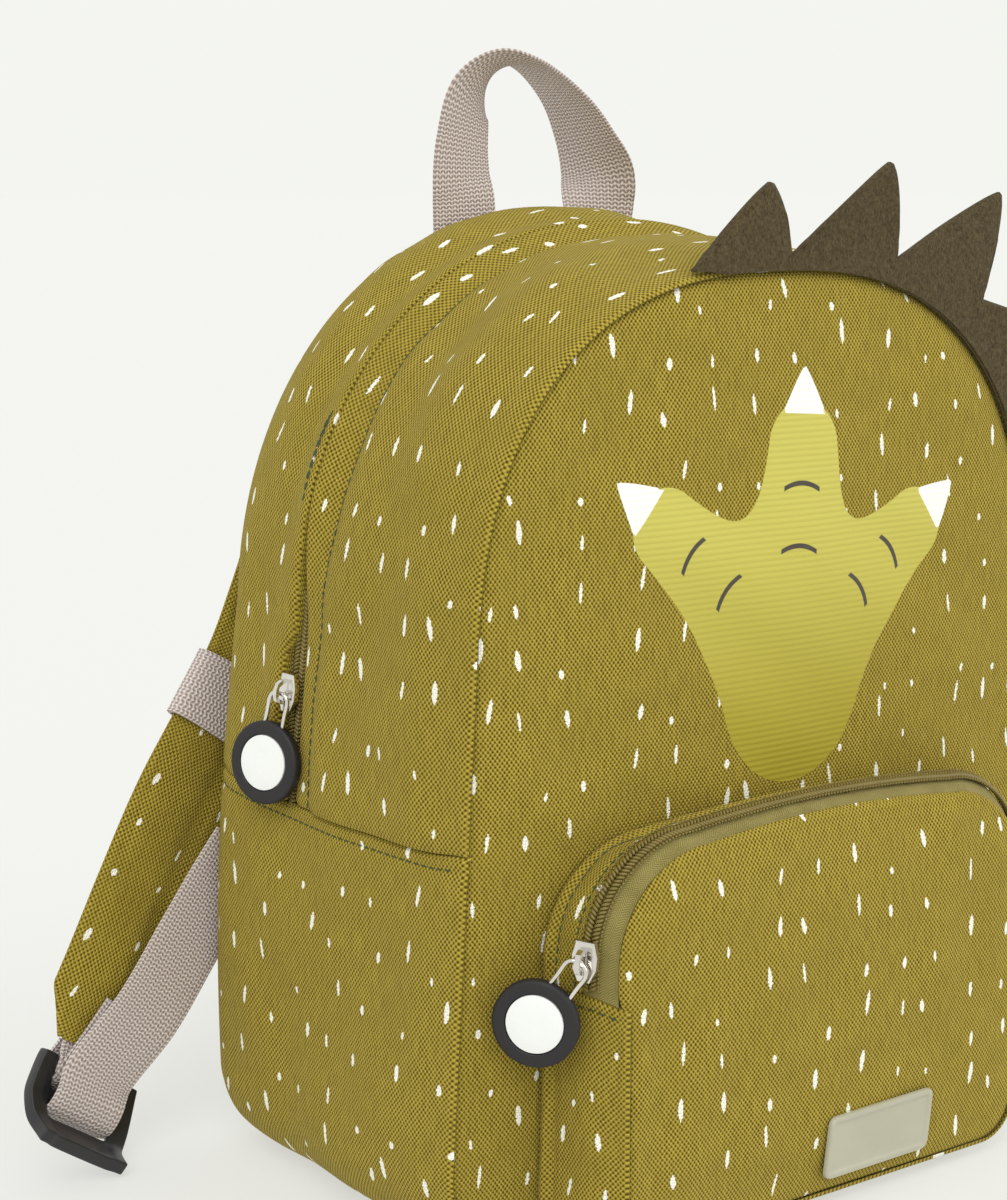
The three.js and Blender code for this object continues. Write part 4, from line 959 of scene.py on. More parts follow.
def makeBackStrip():
    look = backStrip
    end = seamShare - bag["gap"] / halfLength / 2
    shares = np.linspace(-end, end, look["columns"])
    starts = backStripDepths(shares * halfLength)
    spread = np.array(spacedDepths(0, 1, look["rows"]))
    last = 1 + turnIn / bag["depth"]
    base = np.linspace(0.55, last, 91)
    skin = np.stack([bagSkin(shares, depth) for depth in base])
    middle = np.stack([0.5 * (bagSkin(np.zeros(1), d) + bagSkin(np.ones(1), d)) for d in base])
    normalSkin = gridNormals(skin, middle)
    depths = starts[None, :] + (last - starts[None, :]) * spread[:, None]
    place = (depths - base[0]) / (base[1] - base[0])
    low = np.clip(np.floor(place).astype(int), 0, len(base) - 2)
    part = (place - low)[..., None]
    columns = np.arange(len(shares))[None, :]
    grid = skin[low, columns] * (1 - part) + skin[low + 1, columns] * part
    normals = unit(normalSkin[low, columns] * (1 - part) + normalSkin[low + 1, columns] * part)
    along = np.broadcast_to(shares * halfLength, grid.shape[:2])
    deep = depths * bag["depth"]
    fromZip = deep - starts[None, :] * bag["depth"]
    toBack = bag["depth"] + turnIn - deep
    loose = smooth(toBack, 1, 8) * smooth(fromZip, 4, 14)
    high = (folds(along, deep, look["folds"]) + 0.3 * softNoise(along, deep, 30, 8)) * loose
    cover = flapCover(along)
    foldRise = look["sideFold"] * (1 - cover) + look["topFold"] * cover
    high = high + foldRise * (1 - smooth(fromZip, 1, look["foldReach"]))
    high = high + look["hump"] * cover * smooth(fromZip, 8, 20) * smooth(toBack, 4, 22)
    high = high + edgeRoll(fromZip, 3.2, 2.4) * (1 - cover) + edgeRoll(fromZip, 2, 0.8) * cover
    sideEnds = edgeRoll(seamShare * halfLength - np.abs(along), 2.5, 1.2)
    high = high + edgeRoll(toBack, *seamRoll["back"]) + sideEnds
    outer = grid + normals * high[..., None]
    wall = bag["cloth"] * (0.12 + 0.88 * smooth(toBack, 0, 4))
    inner = grid + normals * (high - wall)[..., None]
    uv = np.stack([deep + 260, along + 90], axis=-1)
    piece = shellPiece("gusset_back_cloth", outer, inner, uv, canvas)
    ride(piece, "bag", "canvas", "gusset_back")
    # bar tacks beside the zip's upper end, a little behind the folded edge
    lines = []
    for behind, start, end in look["tacks"]:
        for sign in (-1, 1):
            wanted = sign * np.linspace(start, end, 60)
            columns = np.round(np.interp(wanted, shares, np.arange(len(shares)))).astype(int)
            rows = np.array([np.interp(behind, fromZip[:, c], np.arange(look["rows"])) for c in columns])
            near = np.floor(rows).astype(int)
            part = (rows - near)[:, None]
            up = normals[near, columns]
            line = outer[near, columns] * (1 - part) + outer[near + 1, columns] * part
            lines.append((line + up * 0.15, up))
    ride(sewnRows("gusset_back_tacks", lines, material=thread, **stitch), "bag", "canvas")


makeBackStrip()

baseBand = {
    "columns": 330,
    "rows": 60,
    "stitchAt": 4.2,  # from the side seam
    "folds": [  # along runs from the left side seam, down and round to the right one
        ((20, 30), (75, 55), 16, -2.4),
        ((12, 75), (70, 90), 14, 1.9),
        ((60, 20), (105, 38), 14, 2.1),
        ((35, 95), (95, 70), 12, -1.2),
    ],
}


def makeBaseBand():
    look = baseBand
    gap = bag["gap"] / halfLength / 2
    start, end = -seamShare - gap, -2 + seamShare + gap
    shares = np.linspace(start, end, look["columns"])
    depths = spacedDepths(-turnIn / bag["depth"], 1 + turnIn / bag["depth"], look["rows"])
    length = (2 - 2 * seamShare) * halfLength

    def relief(along, deep):
        run = -along + start * halfLength
        fromSeam = np.minimum(run, length - run)
        side = np.where(run > length / 2, length - run, run)
        standing = smooth(120 - side, 0, 40)
        loose = smooth(deep, 2, 12) * smooth(bag["depth"] - deep, 2, 12) * smooth(fromSeam, 5, 18) * standing
        high = (folds(side, deep, look["folds"]) + 0.45 * softNoise(run, deep, 38, 12)) * loose
        high = high + edgeRoll(deep + turnIn, *seamRoll["front"])
        high = high + edgeRoll(bag["depth"] + turnIn - deep, *seamRoll["back"])
        drawnIn = 0.6 * np.exp(-(((fromSeam - look["stitchAt"]) / 1.4) ** 2))
        return high - drawnIn + edgeRoll(fromSeam, 2.0, 1.3)

    piece, outer, normals = skinShell(
        "gusset_base_cloth", bagSkin, shares, depths, relief, bag["cloth"], bag["depth"], halfLength, canvas,
        offset=(5, 340), thin=["first", "last"],
    )
    ride(piece, "bag", "canvas", "gusset_base")
    lines = []
    across = np.linspace(0.02, 0.98, 60)
    order = shares[::-1]
    stitchShare = look["stitchAt"] / halfLength
    for share in (start - stitchShare, end + stitchShare):
        lines.append(lineOn(outer[:, ::-1], normals[:, ::-1], order, depths, np.full(60, share), across))
    ride(sewnRows("gusset_base_topstitch", lines, material=thread, **stitch), "bag", "canvas")


makeBaseBand()
print("gusset made")

# The footprint that is printed on the front: toes as tapering bars, a heel, claws and creases.
footprint = {
    "heel": ((2, 150), (2, 168), 24, 27),  # ends of a bar and its radii there
    "toes": [
        ((-8, 172), (-46, 205), 17, 12),
        ((2, 175), (6, 226), 19, 13),
        ((13, 170), (52, 198), 17, 12),
    ],
    "clawWidth": 8.5,
    "clawLength": 14,
    "softness": 7,
}


def barDistance(x, z, start, end, radiusStart, radiusEnd):
    (x0, z0), (x1, z1) = start, end
    span = (x1 - x0) ** 2 + (z1 - z0) ** 2
    share = np.clip(((x - x0) * (x1 - x0) + (z - z0) * (z1 - z0)) / span, 0, 1)
    away = np.hypot(x - x0 - share * (x1 - x0), z - z0 - share * (z1 - z0))
    return away - (radiusStart + (radiusEnd - radiusStart) * share)


def padDistance(x, z):
    look = footprint
    soft = look["softness"]
    bars = [barDistance(x, z, *look["heel"])] + [barDistance(x, z, *toe) for toe in look["toes"]]
    return -soft * np.log(sum(np.exp(-bar / soft) for bar in bars))


def clawDistance(x, z):  # a white triangle ahead of each toe, with slightly bowed sides
    nearest = np.full(np.shape(x), 99.0)
    for start, end, _, radius in footprint["toes"]:
        heading = unit(np.array(end, dtype=float) - np.array(start))
        along = (x - end[0]) * heading[0] + (z - end[1]) * heading[1] - (radius - 4)
        across = np.abs(-(x - end[0]) * heading[1] + (z - end[1]) * heading[0])
        share = np.clip(along / footprint["clawLength"], 0, 1)
        half = footprint["clawWidth"] * (1 - share) ** 0.85
        inside = np.maximum(across - half, np.maximum(-along, along - footprint["clawLength"]))
        nearest = np.minimum(nearest, inside)
    return nearest


def creases(x, z):  # two across each toe: the distance to the nearer one, and how far inside its reach
    best, distance, inside = (np.full(np.shape(x), 99.0) for _ in range(3))
    for toe in footprint["toes"]:
        start, end, _, radius = toe
        start, end = np.array(start, dtype=float), np.array(end, dtype=float)
        heading = unit(end - start)
        both = []
        for share in (0.42, 0.78):
            centre = start + (end - start) * share
            along = (x - centre[0]) * heading[0] + (z - centre[1]) * heading[1]
            across = -(x - centre[0]) * heading[1] + (z - centre[1]) * heading[0]
            both.append(along + across**2 / 26)
        nearest = np.minimum(np.abs(both[0]), np.abs(both[1])) * np.sign(both[0] * both[1])
        away = barDistance(x, z, *toe)
        mine = away < best
        best = np.where(mine, away, best)
        distance = np.where(mine, nearest, distance)
        inside = np.where(mine, radius * 0.55 - np.abs(across), inside)
    return distance, inside


frontPanel = {
    "sides": 620,
    "rings": 84,
    "roll": (6, 2.2),
    "inset": 2.2,
    "folds": [  # (x, z) start and end, width, height
        ((-95, 150), (-70, 90), 15, 1.9),
        ((-100, 60), (-94, 130), 9, -0.9),
        ((60, 262), (100, 215), 13, 1.6),
        ((-30, 262), (-95, 205), 12, -1.4),
        ((90, 150), (80, 190), 12, -0.8),
    ],
}


def panelRings(count):
    share = np.linspace(0, 1, count)
    return 1 - share**1.12 * 0.988


def bagRim(depth, count):
    shares = np.linspace(-1, 1, count + 1)[1:]
    return outlineOf(bagOutline, depth).at(shares)


def frontRelief(x, z, edge):
    loose = smooth(edge, 2, 16)
    nearPocket = smooth(barDistance(x, z, (-60, 60), (60, 60), 66, 66), -8, 6)
    return (folds(x, z, frontPanel["folds"]) + 0.5 * softNoise(x, z, 46, 21)) * loose * nearPocket


def makeFrontPanel():
    look = frontPanel
    rimX, rimZ = bagRim(0, look["sides"])
    attributes = {
        "padDistance": padDistance,
        "clawDistance": clawDistance,
        "lineDistance": lambda x, z: creases(x, z)[0],
        "lineReach": lambda x, z: creases(x, z)[1],
    }
    middle = (0, bag["height"] * bag["middle"])
    piece = discPiece(
        "front_panel_cloth", rimX, rimZ, middle, panelRings(look["rings"]), frontFace, frontRelief,
        bag["cloth"], printedCanvas, look["roll"], attributes=attributes, inset=look["inset"],
    )
    ride(piece, "bag", "canvas", "front_panel")


makeFrontPanel()
print("front panel made")

backPanel = {"sides": 400, "rings": 44, "roll": (8, 4.6), "inset": 3.0, "fill": 0.5}


def makeBackPanel():
    rimX, rimZ = bagRim(1, backPanel["sides"])

    def relief(x, z, edge):
        uneven = (0.5 * softNoise(x, z, 60, 31)) * smooth(edge, 4, 20)
        return uneven - 0.5 * np.exp(-(((edge - 9) / 1.6) ** 2))

    middle = (0, bag["height"] * bag["middle"])
    piece = discPiece(
        "back_panel_pad", rimX, rimZ, middle, panelRings(backPanel["rings"]), backFace, relief,
        -bag["backPad"], canvas, backPanel["roll"], offset=(420, 60), inset=backPanel["inset"],
    )
    ride(piece, "bag", "canvas", "back_panel")


makeBackPanel()


# A coil's teeth and the threads that sew it down, as shares of its pitch and width, or in millimetres.
coilLook = {
    "toothSpread": 0.22,
    "toothAlong": 0.9,
    "toothAcross": 0.56,
    "toothHeight": 1.7,
    "toothSlant": 32,
    "threadSpread": 0.3,
    "threadAlong": 0.8,
    "threadAcross": 0.75,
    "threadHeight": 0.8,
    "threadLift": 0.25,
}


def zipCoilRows(name, skin, shares, middleDepth, lift, width, total, pitch):  # two interlocked rows of loops
    look = coilLook
    rows = []
    step = 0.002
    for side in (-1, 1):
        depth = middleDepth + side * width * look["toothSpread"] / total
        points = skin(shares, depth)
        along = unit(np.gradient(points, axis=0))
        deep = unit(skin(shares, depth + step) - skin(shares, depth - step))
        normals = unit(np.cross(along, deep))
        centre = 0.5 * (skin(np.zeros(1), depth) + skin(np.ones(1), depth))
        away = np.einsum("ij,ij->i", normals, points - centre)
        normals = np.where((away < 0)[:, None], -normals, normals)
        line = (points + normals * lift + along * (pitch / 4 * side), normals)
        place = "near" if side < 0 else "far"
        teeth = sewnRows(
            f"{name}_{place}", [line], pitch, pitch * look["toothAlong"], width * look["toothAcross"],
            look["toothHeight"], coil, slant=look["toothSlant"] * side,
        )
        stitched = line[0] + deep * side * width * look["threadSpread"] + normals * look["threadLift"]
        threads = sewnRows(
            f"{name}_{place}_sewing", [(stitched, normals)], pitch, pitch * look["threadAlong"],
            look["threadAcross"], look["threadHeight"], coil,
        )
        rows.extend([teeth, threads])
    return rows


def makeMainZip():
    look = zipSizes
    end = seamShare - bag["gap"] / halfLength / 2
    shares = np.linspace(-end, end, 260)
    half = look["tapeWidth"] / bag["depth"] / 2
    depths = np.linspace(zipShare - half, zipShare + half, 7).tolist()

    def behindCloth(along, deep):
        return np.full(deep.shape, -bag["cloth"] - 2 * bag["gap"])

    piece, _, _ = skinShell(
        "zip_tape_cloth", bagSkin, shares, depths, behindCloth, 1, bag["depth"], halfLength, tape
    )
    ride(piece, "bag", "zip_tape", "zip_tape")
    rows = zipCoilRows(
        "zip_coil_teeth", bagSkin, np.linspace(-end, end, 700), zipShare, look["lift"], look["coilWidth"],
        bag["depth"], look["pitch"],
    )
    for i, row in enumerate(rows):
        ride(row, "bag", "zip_coil", *([] if i else ["zip_coil"]))


makeMainZip()
print("main zip made")

# The pocket.
pocketMiddle = outlineOf(pocketOutline, 0.5)
pocketLength = pocketMiddle.total
pocketEnd = pocketMiddle.shareAtHeight(pocket["zipEnd"])
stripShare = pocket["strip"] / pocket["depth"]
pocketCoil = stripShare + (bag["gap"] + pocket["coilWidth"] / 2) / pocket["depth"]

pocketFace = {
    "sides": 380,
    "rings": 60,
    "roll": (4.6, 1.9),
    "inset": 2.4,  # below the zip's ends
    "folds": [
        ((-70, 95), (-20, 112), 9, 1.1),
        ((-78, 30), (-60, 75), 9, -1.0),
        ((-40, 12), (10, 8), 7, -0.6),
        ((40, 108), (76, 96), 9, 0.9),
    ],
}


def makePocketFace():
    look = pocketFace
    rimX, rimZ = outlineOf(pocketOutline, 1).at(np.linspace(-1, 1, look["sides"] + 1)[1:])

    def relief(x, z, edge):
        high = (folds(x, z, look["folds"]) + 0.45 * softNoise(x, z, 36, 41)) * smooth(edge, 2, 12)
        return high - 0.45 * np.exp(-(((edge - 3.6) / 1.1) ** 2)) * smooth(z, 78, 84)

    middle = (0, pocket["height"] / 2)
    inset = look["inset"] * (1 - smooth(rimZ, 74, 82))
    piece = discPiece(
        "pocket_face_cloth", rimX, rimZ, middle, panelRings(look["rings"]), pocketFaceAt, relief,
        bag["cloth"], canvas, look["roll"], offset=(150, 410), inset=inset,
    )
    ride(piece, "bag", "canvas", "pocket_face")


def piping(deep):  # the folded seam allowance at the pocket's foot, and the valley of its stitches
    return 1.3 * np.exp(-(((deep - 2.2) / 1.7) ** 2)) - 0.5 * np.exp(-(((deep - 5.6) / 1.2) ** 2))


pocketStrip = {"columns": 260, "rows": 22, "seamStitch": 5.6, "zipStitch": 3.2}


def makePocketStrips():
    look = pocketStrip
    gap = bag["gap"] / pocketLength / 2
    end = pocketEnd - gap
    shares = np.linspace(-end, end, look["columns"])
    depths = spacedDepths(0, stripShare, look["rows"])
    endRun = pocketEnd * pocketLength

    def stripRelief(along, deep):
        toZip = pocket["strip"] - deep
        loose = smooth(deep, 2, 6) * smooth(toZip, 2, 6)
        high = 0.35 * softNoise(along, deep, 26, 51) * loose
        high = high + piping(deep) - 0.4 * np.exp(-(((toZip - look["zipStitch"]) / 1.0) ** 2))
        return high + edgeRoll(toZip, 1.4, 0.9) + edgeRoll(endRun - np.abs(along), 2, 1)

    piece, outer, normals = skinShell(
        "pocket_strip_cloth", pocketSkin, shares, depths, stripRelief, bag["cloth"], pocket["depth"],
        pocketLength, canvas, offset=(77, 233),
    )
    ride(piece, "bag", "canvas", "pocket_strip")
    wanted = np.linspace(-end + 0.008, end - 0.008, 300)
    lines = [
        lineOn(outer, normals, shares, depths, wanted, np.full(300, at / pocket["depth"]))
        for at in (look["seamStitch"], pocket["strip"] - look["zipStitch"])
    ]
    ride(sewnRows("pocket_strip_topstitch", lines, material=thread, **stitch), "bag", "canvas")

    tapeDepths = np.linspace(stripShare + bag["gap"] / pocket["depth"], 1, 8).tolist()

    def tapeRelief(along, deep):
        toFace = pocket["depth"] - deep
        return -0.5 - 0.25 * np.exp(-(((toFace - 1.2) / 0.8) ** 2)) + 0.12 * softNoise(along, deep, 14, 55)

    piece, _, _ = skinShell(
        "pocket_zip_tape_cloth", pocketSkin, shares, tapeDepths, tapeRelief, 1, pocket["depth"], pocketLength,
        tape,
    )
    ride(piece, "bag", "zip_tape", "pocket_zip_tape")
    coilShares = np.linspace(-end + 0.01, end - 0.01, 500)
    rows = zipCoilRows(
        "pocket_zip_teeth", pocketSkin, coilShares, pocketCoil, pocket["coilLift"], pocket["coilWidth"],
        pocket["depth"], zipSizes["pitch"],
    )
    for i, row in enumerate(rows):
        ride(row, "bag", "zip_coil", *([] if i else ["pocket_zip_coil"]))


pocketBand = {
    "columns": 240,
    "rows": 30,
    "overlap": 2.8,  # past the rim of the pocket's face
    "roll": (5, 2.6),
    "stitchAt": 3.5,  # from the seam under the zip's ends
}


def makePocketBand():
    look = pocketBand
    gap = bag["gap"] / pocketLength / 2
    start, end = -pocketEnd - gap, -2 + pocketEnd + gap
    shares = np.linspace(start, end, look["columns"])
    depths = spacedDepths(0, 1 + look["overlap"] / pocket["depth"], look["rows"])
    length = (2 - 2 * pocketEnd) * pocketLength

    def relief(along, deep):
        run = -along + start * pocketLength
        fromSeam = np.minimum(run, length - run)
        loose = smooth(deep, 2, 8) * smooth(pocket["depth"] - deep, 2, 8) * smooth(fromSeam, 3, 12)
        high = 0.4 * softNoise(run, deep, 24, 61) * loose
        high = high + piping(deep) + edgeRoll(pocket["depth"] + look["overlap"] - deep, *look["roll"])
        return high - 0.5 * np.exp(-(((fromSeam - look["stitchAt"]) / 1.2) ** 2)) + edgeRoll(fromSeam, 2, 1.1)

    piece, outer, normals = skinShell(
        "pocket_band_cloth", pocketSkin, shares, depths, relief, bag["cloth"], pocket["depth"], pocketLength,
        canvas, offset=(212, 510), thin=["last"],
    )
    ride(piece, "bag", "canvas", "pocket_band")
    lines = []
    across = np.linspace(0.05, 0.95, 30)
    stitchShare = look["stitchAt"] / pocketLength
    for share in (start - stitchShare, end + stitchShare):
        wanted = np.full(30, share)
        lines.append(lineOn(outer[:, ::-1], normals[:, ::-1], shares[::-1], depths, wanted, across))
    ride(sewnRows("pocket_band_topstitch", lines, material=thread, **stitch), "bag", "canvas")


makePocketFace()
makePocketStrips()
makePocketBand()
print("pocket made")

label = {
    "width": 43,
    "height": 20,
    "thickness": 1.4,
    "corner": 2.5,
    "centre": (15, 21),
    "rim": 1.6,
    "rimRise": 0.45,
    "edge": (0.5, 0.4),
}


def makeLabel():  # a bare rubber plate with a raised rim
    look = label
    halfW, halfH, radius = look["width"] / 2, look["height"] / 2, look["corner"]
    centre = look["centre"]
    x, z = [], []
    for corner, (sx, sz) in enumerate([(1, 1), (-1, 1), (-1, -1), (1, -1)]):
        for step in np.linspace(0, 1, 7):
            angle = (corner + step) * math.pi / 2
            x.append(centre[0] + sx * (halfW - radius) + radius * math.cos(angle))
            z.append(centre[1] + sz * (halfH - radius) + radius * math.sin(angle))

    def face(px, pz):
        return pocketFaceAt(px, pz) - 3 * bag["gap"] - look["thickness"]

    def relief(px, pz, edge):
        inX = halfW - np.abs(px - centre[0])
        inZ = halfH - np.abs(pz - centre[1])
        inward = np.minimum(inX, inZ)
        return -look["rimRise"] * smooth(inward, look["rim"], look["rim"] + 0.7)

    shrink = [1, 0.985, 0.96, 0.93, 0.9, 0.87, 0.84, 0.8, 0.7, 0.5, 0.25, 0.05]
    piece = discPiece(
        "pocket_label_plate", np.array(x), np.array(z), centre, shrink, face, relief, look["thickness"],
        labelRubber, look["edge"],
    )
    ride(piece, "bag", "label_rubber", "pocket_label")


makeLabel()

crest = {
    "spikes": [
        {"foot": -0.073, "notch": 0, "tip": -0.007, "rise": 22.4, "curl": 1.5},
        {"foot": 0.007, "notch": 0.6, "tip": 0.0765, "rise": 31.4, "curl": -1.8},
        {"foot": 0.099, "notch": 4.2, "tip": 0.159, "rise": 42.5, "curl": 2.0},
        {"foot": 0.179, "notch": 10.5, "tip": 0.25, "rise": 38, "curl": -1.2},
        {"foot": 0.264, "notch": 8, "tip": 0.32, "rise": 30, "curl": 1.0},
    ],
    "end": 0.352,
    "clearance": 0.8,
    "forward": 3.2,  # of the middle of the front seam
    "thickness": 2.6,
    "sink": 2.6,
    "roundness": 3.4,
    "bow": (0.7, 2.3),  # of a spike's rising and falling edge
    "rows": 22,
}


def makeCrest():
    look = crest
    outline = outlineOf(bagOutline, 0)

    def onSeam(along):
        return np.array(outline.at(np.array([along]))).ravel()

    def place(along, out):
        step = 0.004
        ahead = unit(onSeam(along + step) - onSeam(along - step))
        return onSeam(along) + np.array([-ahead[1], ahead[0]]) * (look["clearance"] + out)

    top, curls, feet = [], [], []
    for i, spike in enumerate(look["spikes"]):
        following = look["spikes"][i + 1] if i + 1 < len(look["spikes"]) else None
        foot, tip = place(spike["foot"], spike["notch"]), place(spike["tip"], spike["rise"])
        heelShare = following["foot"] if following else look["end"]
        heel = place(heelShare, following["notch"] if following else 0)
        rise, fall = unit(tip - foot), unit(heel - tip)
        riseSide, fallSide = np.array([-rise[1], rise[0]]), np.array([-fall[1], fall[0]])
        r, (riseBow, fallBow) = look["roundness"], look["bow"]
        corners = [
            foot,
            (foot + tip) / 2 + riseSide * riseBow,
            tip - rise * r + riseSide * 0.3,
            tip + fall * 0.12 * r,
            tip + fall * r + fallSide * 1.5,
            tip + (heel - tip) * 0.46 + fallSide * fallBow,
            heel,
        ]
        shares = [0, 0.3, 0.52, 0.56, 0.6, 0.8, 1]
        steps = np.linspace(0, 1, 41)[:-1] if following else np.linspace(0, 1, 41)
        index = np.interp(steps, shares, np.linspace(0, 1, len(corners)))
        line = Path.spline(np.array([[c[0], 0, c[1]] for c in corners]), index)
        top.append(line[:, [0, 2]])
        curls.append(spike["curl"] * np.sin(math.pi * steps))
        feet.append(spike["foot"] + (heelShare - spike["foot"]) * steps)
    top, curls, feet = np.concatenate(top), np.concatenate(curls), np.concatenate(feet)
    sink = look["sink"] * smooth(feet, feet[0], feet[0] + 0.03) * smooth(feet[-1] - feet, 0, 0.03)
    bottom = np.array([place(share, -look["clearance"] - deep) for share, deep in zip(feet, sink)])
    up = np.linspace(0, 1, look["rows"])[:, None, None]
    flat = bottom[None] * (1 - up) + top[None] * up
    lean = curls[None, :] * up[..., 0] ** 2 * 1.2
    fuzz = 0.12 * softNoise(flat[..., 0], flat[..., 1], 5, 71)
    half = look["thickness"] / 2 + edgeRoll((1 - up[..., 0]) * 20, 1.6, 0.7)
    rimless = np.ones_like(fuzz)
    rimless[-1] = 0
    sides = []
    for way in (-1, 1):
        y = frontY - look["forward"] + lean + way * (half + fuzz * rimless)
        sides.append(np.stack([flat[..., 0], y, flat[..., 1]], axis=-1))
    uv = np.stack([flat[..., 0], flat[..., 1]], axis=-1)
    piece = shellPiece("felt_crest_cloth", sides[0], sides[1], uv, felt, sharp=60)
    ride(piece, "bag", "felt", "felt_crest")


makeCrest()
print("crest made")


def roundedSection(count, squareness):  # a flat section with rounded edges, as shares of width and thickness
    angle = np.linspace(0, math.tau, count, endpoint=False)
    x, y = np.cos(angle), np.sin(angle)
    return np.stack([0.5 * np.sign(v) * np.abs(v) ** squareness for v in (x, y)], axis=-1)


def webbingSection(columns=14):
    xs = np.linspace(-0.5, 0.5, columns)
    top = [(x, 0.5 - 0.22 * (abs(x) * 2) ** 10) for x in xs]
    low = [(x, -0.5 + 0.22 * (abs(x) * 2) ** 10) for x in xs[::-1]]
    return np.array(top + low)


webbingSizes = {"width": 25.0, "thickness": 1.8}


def webbingRun(name, stations, steps, offset=(0, 0)):  # stations are places and the way across the webbing
    look = webbingSizes
    path = Path([place for place, _ in stations], [across for _, across in stations])
    return ribbonPiece(
        name, path, lambda s: np.full(len(s), look["width"]), look["thickness"], webbingSection(), steps,
        webbing, offset=offset,
    )


def turned(degrees):
    angle = math.radians(degrees)
    return (math.cos(angle), math.sin(angle), 0)


loop = {
    "y": backY + 2.1,
    "bow": 3.5,  # how far its crown stands back
    "stations": [  # x, z, turn about the vertical
        (-24.5, 284, 2),
        (-25, 296, 4),
        (-25.6, 304, 10),
        (-25, 314, 15),
        (-21.5, 328, 22),
        (-10.5, 338, 44),
        (2.5, 339.5, 74),
        (18, 329, 90),
        (27, 316, 106),
        (31.5, 305, 128),
        (31, 295.5, 160),
        (30, 285, 178),
    ],
}


def makeLoop():
    look = loop
    stations = [
        ((x, look["y"] + look["bow"] * math.sin(math.radians(turn)), z), turned(turn))
        for x, z, turn in look["stations"]
    ]
    piece = webbingRun("carry_loop_webbing", stations, 150)
    ride(piece, "bag", "webbing", "carry_loop")


makeLoop()

strap = {
    "width": 46,
    "thickness": 8,
    "fill": 0.55,
    "length": 260,
    "taper": 17,
    "stations": [  # x, y, z, turn
        (-34, 72, 264, 4),
        (-39, 74, 250, 8),
        (-51, 80, 227, 16),
        (-66, 84.5, 197, 22),
        (-79, 85, 165, 28),
        (-88.8, 84, 145, 28),
        (-103.6, 82, 123.7, 28),
        (-119.2, 79, 103, 29),
        (-135, 75.5, 77.6, 30),
        (-147.5, 73, 56, 32),
        (-158.3, 73.4, 35, 33),
    ],
    "crease": (1.5, 1.8, 2.2),  # its depth, place and width
    "keeperStart": 0.515,
    "keeperLength": 24,
    "keeperMargins": (2.1, 0.5),  # of its outer and inner face round the strap
    "keeperRib": 1.5,
    "tackRows": (0.64, 0.645, 0.65),
    "tackReach": (-4, 15),
    "boxAcross": (-9, 8),
    "boxAlong": (0.905, 0.985),
}


def strapTurn(degrees):
    angle = math.radians(degrees)
    return (math.cos(angle), 0, -math.sin(angle))


strapPath = Path([s[:3] for s in strap["stations"]], [strapTurn(s[3]) for s in strap["stations"]])


def strapWidth(shares):
    toEnd = (1 - shares) * strap["length"]
    narrow = webbingSizes["width"] + 3
    return narrow + (strap["width"] - narrow) * np.minimum(toEnd / strap["taper"], 1)


def paddedSection(columns=26):  # two plump faces that meet in a seam at each side
    xs = np.sin(np.linspace(-math.pi / 2, math.pi / 2, columns)) * 0.5
    plump = 0.5 * (1 - np.abs(xs * 2) ** 3.2) ** 0.62
    top = list(zip(xs, np.maximum(plump, 0.05)))
    low = list(zip(xs[::-1], -np.maximum(plump[::-1], 0.05)))
    return np.array(top + low)


def strapRelief(across, along, side):
    loose = smooth(23 - np.abs(across), 1, 8)
    deep, middle, wide = strap["crease"]
    fromCrease = across - middle - 1.2 * np.sin(along / 37)
    crease = -deep * np.exp(-((fromCrease / wide) ** 2)) * smooth(along, 120, 160)
    ripples = 0.35 * softNoise(along, across * 0.6, 22, 81)
    hem = -0.5 * np.exp(-(((np.abs(across) - 19.5) / 1.2) ** 2))
    return np.where(side != 0, (crease + ripples) * loose + hem, 0)


def makeStrap():
    return ribbonPiece(
        "shoulder_strap_left_pad", strapPath, strapWidth, strap["thickness"], paddedSection(), 190, canvas,
        relief=strapRelief, offset=(333, 120),
    )


def makeKeeper():
    look = strap
    reach = look["keeperLength"] / look["length"]
    shares = np.linspace(look["keeperStart"], look["keeperStart"] + reach, 24)
    centre, _, across, normal = strapPath.frames(shares)
    section = roundedSection(64, 0.72)
    run = np.cumsum(np.concatenate([[0], np.linalg.norm(np.diff(centre, axis=0), axis=1)]))
    rows = []
    for margin in look["keeperMargins"]:
        wide = section[None, :, 0] * (look["width"] + 2 * margin)
        high = section[None, :, 1] * (look["thickness"] + 2 * margin) * np.ones((len(shares), 1))
        rib = 0.1 * np.sin(run * math.tau / look["keeperRib"])[:, None] if margin > 1 else 0
        high = high + np.sign(section[None, :, 1]) * rib
        rows.append(centre[:, None] + across[:, None] * wide[..., None] + normal[:, None] * high[..., None])
    sides = np.diff(section, axis=0) * (look["width"], look["thickness"])
    girth = np.cumsum(np.concatenate([[0], np.hypot(*sides.T)]))
    shape = rows[0].shape[:2]
    uv = np.stack([np.broadcast_to(run[:, None], shape), np.broadcast_to(girth, shape)], axis=-1)
    return shellPiece("strap_keeper_left_webbing", rows[0], rows[1], uv, webbing, closed=True)


